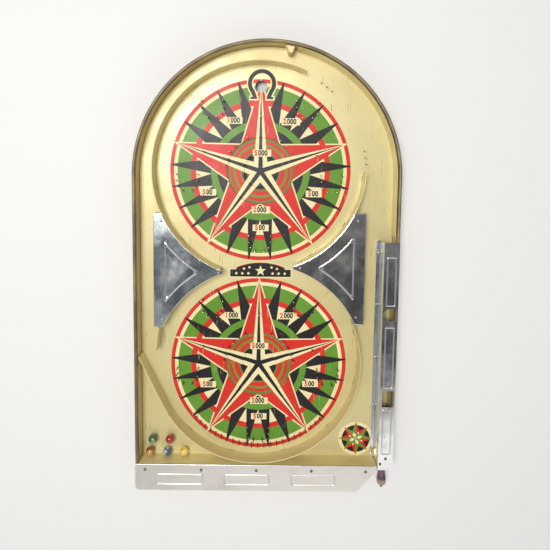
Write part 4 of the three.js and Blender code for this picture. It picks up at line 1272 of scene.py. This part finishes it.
def prop_stand():
    low, high = cad("prop_stand")
    z = (low.z + high.z) / 2
    foot = STAND_HINGE_Y - STAND_LENGTH
    corners = [(-STAND_END, STAND_HINGE_Y), (-STAND_LEG_X, STAND_HINGE_Y), (-STAND_LEG_X, foot)]
    corners += [(-x, y) for x, y in reversed(corners)]
    path = [Vector(corners[0])]
    for i in range(1, 5):
        here = Vector(corners[i])
        before = Vector(corners[i - 1]) - here
        after = Vector(corners[i + 1]) - here
        reach = min(11.0, before.length / 2.3, after.length / 2.3)
        bend = fillet(here, -before.normalized(), after.normalized(), reach, 8)
        path += [Vector(p) for p in bend]
    path.append(Vector(corners[5]))
    full = []
    for a, b in zip(path, path[1:]):
        count = max(1, int((b - a).length / 12))
        full += [a.lerp(b, i / count) for i in range(count)]
    full.append(path[-1])
    wire = swept_wire(Shape(), [(p.x, p.y, z) for p in full], 1.9, 14)
    piece = wire.build("prop_stand_wire", [STEEL], body="stand")
    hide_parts("prop_stand")


# ---------- assembly ----------

playfield()
score_numbers()
case_shell()
circle_rail("upper_rail_left", 65, 248.5)
circle_rail("upper_rail_right", -2, -68.5)
circle_rail("left_gusset_rail", 111.5, 155)
circle_rail("right_gusset_rail", 68.5, 28)
lower_rail()
short_rail()
runway_liner()
rebound_stop()
gusset("left_gusset")
gusset("right_gusset")
lane_cover()
apron()
for number, node in enumerate(sorted(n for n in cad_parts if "_screw_" in n)):
    slotted_screw(node, 37 * number % 180)
plunger()
plunger_seat()
plunger_spring()
for node in sorted(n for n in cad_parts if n.endswith("_pins") or n.startswith("gate_pins")):
    pins(node)
for word, (colour, streak) in MARBLES.items():
    marble(word, colour, streak)
prop_stand()
for node in ("apron_bracket", "stand_clip_left", "stand_clip_right"):
    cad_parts[node].data.materials.clear()
    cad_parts[node].data.materials.append(STEEL)


# ---------- floor, light and camera ----------

def floor():
    look = Look("pale_floor", (0.86, 0.855, 0.85), roughness=0.7)
    look.tint(look.ramp(look.noise(3, 2), 0.3, 0.7, 0.0, 0.25), (0.89, 0.885, 0.88))
    mesh = bpy.data.meshes.new("floor")
    size = 4.0
    corners = [(-size, -size, 0), (size, -size, 0), (size, size, 0), (-size, size, 0)]
    mesh.from_pydata(corners, [], [[0, 1, 2, 3]])
    mesh.materials.append(look.material)
    ground = link(bpy.data.objects.new("floor", mesh))
    ground.location.z = -0.0002


def area_light(name, place, target, size, power, colour=(1, 1, 1)):
    lamp = bpy.data.lights.new(name, "AREA")
    lamp.size = size
    lamp.energy = power
    lamp.color = colour
    holder = link(bpy.data.objects.new(name, lamp))
    holder.location = place
    holder.rotation_euler = (Vector(target) - Vector(place)).to_track_quat("-Z", "Y").to_euler()


class Surround(Nodes):
    """A studio seen in the tin: a soft grey room with brighter and darker cards, laid out by direction."""

    def __init__(self, strength):
        world = bpy.data.worlds.new("studio")
        bpy.context.scene.world = world
        world.use_nodes = True
        self.tree = world.node_tree
        self.out = self.tree.nodes["Background"]
        self.out.inputs["Strength"].default_value = strength
        self.direction = self.node("ShaderNodeTexCoord").outputs["Generated"]
        self.colour = (0.5, 0.5, 0.5, 1)

    def lay(self, source, near, far, start, end, colour):
        mask = self.ramp(source, near, far, start, end, interpolation_type="SMOOTHSTEP")
        self.colour = self.over(self.colour, mask, colour)
        self.feed(self.colour, self.out.inputs["Color"])

    def card(self, direction, near, far, colour):
        """A round card: full colour within near of a direction, gone beyond far."""
        gap = self.node("ShaderNodeVectorMath", operation="DISTANCE")
        gap.inputs[1].default_value = Vector(direction).normalized()
        self.feed(self.direction, gap.inputs[0])
        self.lay(gap.outputs["Value"], near, far, 1.0, 0.0, colour)

    def band(self, axis, near, far, colour):
        """Everything past far along an axis."""
        self.lay(self.part(self.direction, axis), near, far, 0.0, 1.0, colour)


def lights():
    room = Surround(0.82)
    room.band("Z", 0.75, 0.1, (0.30, 0.297, 0.29))
    room.band("Y", -0.44, -0.55, (0.80, 0.78, 0.74))
    room.card((-0.27, -0.06, 0.95), 0.05, 0.15, (0.82, 0.86, 0.88))
    room.card((-0.19, -0.23, 0.95), 0.06, 0.16, (0.09, 0.115, 0.13))
    room.card((-0.30, -0.34, 0.90), 0.03, 0.12, (0.42, 0.44, 0.43))
    room.card((0.15, -0.24, 0.96), 0.11, 0.28, (0.10, 0.097, 0.095))
    room.card((0.10, -0.06, 0.99), 0.05, 0.15, (0.28, 0.27, 0.25))
    room.card((0.27, -0.34, 0.90), 0.05, 0.16, (0.085, 0.08, 0.078))
    area_light("key", (-0.40, 0.42, 1.85), (0, 0, 0), 0.7, 25, (1.0, 0.985, 0.96))
    area_light("fill", (0.3, -1.8, 1.4), (0, -0.1, 0), 1.4, 3)


def camera():
    """Almost straight above the arch's end of the board, tipped a little toward its foot."""
    tip, roll = 0.0807, -0.0112
    right = Vector((1, 0, 0))
    up = Vector((0, math.cos(tip), -math.sin(tip)))
    ahead = Vector((0, -math.sin(tip), -math.cos(tip)))
    across = right * math.cos(roll) - up * math.sin(roll)
    upward = right * math.sin(roll) + up * math.cos(roll)
    lens = bpy.data.cameras.new("camera")
    lens.sensor_width = 36
    lens.lens = 29.2549
    lens.shift_x = 0.016364
    lens.shift_y = -0.124727
    holder = link(bpy.data.objects.new("camera", lens))
    turn = Matrix((across, upward, -ahead)).transposed().to_4x4()
    holder.matrix_world = Matrix.Translation(Vector((-0.87, 139.2, 624.1)) * MM) @ turn
    bpy.context.scene.camera = holder


floor()
lights()
camera()
bpy.context.scene.view_settings.view_transform = "Standard"
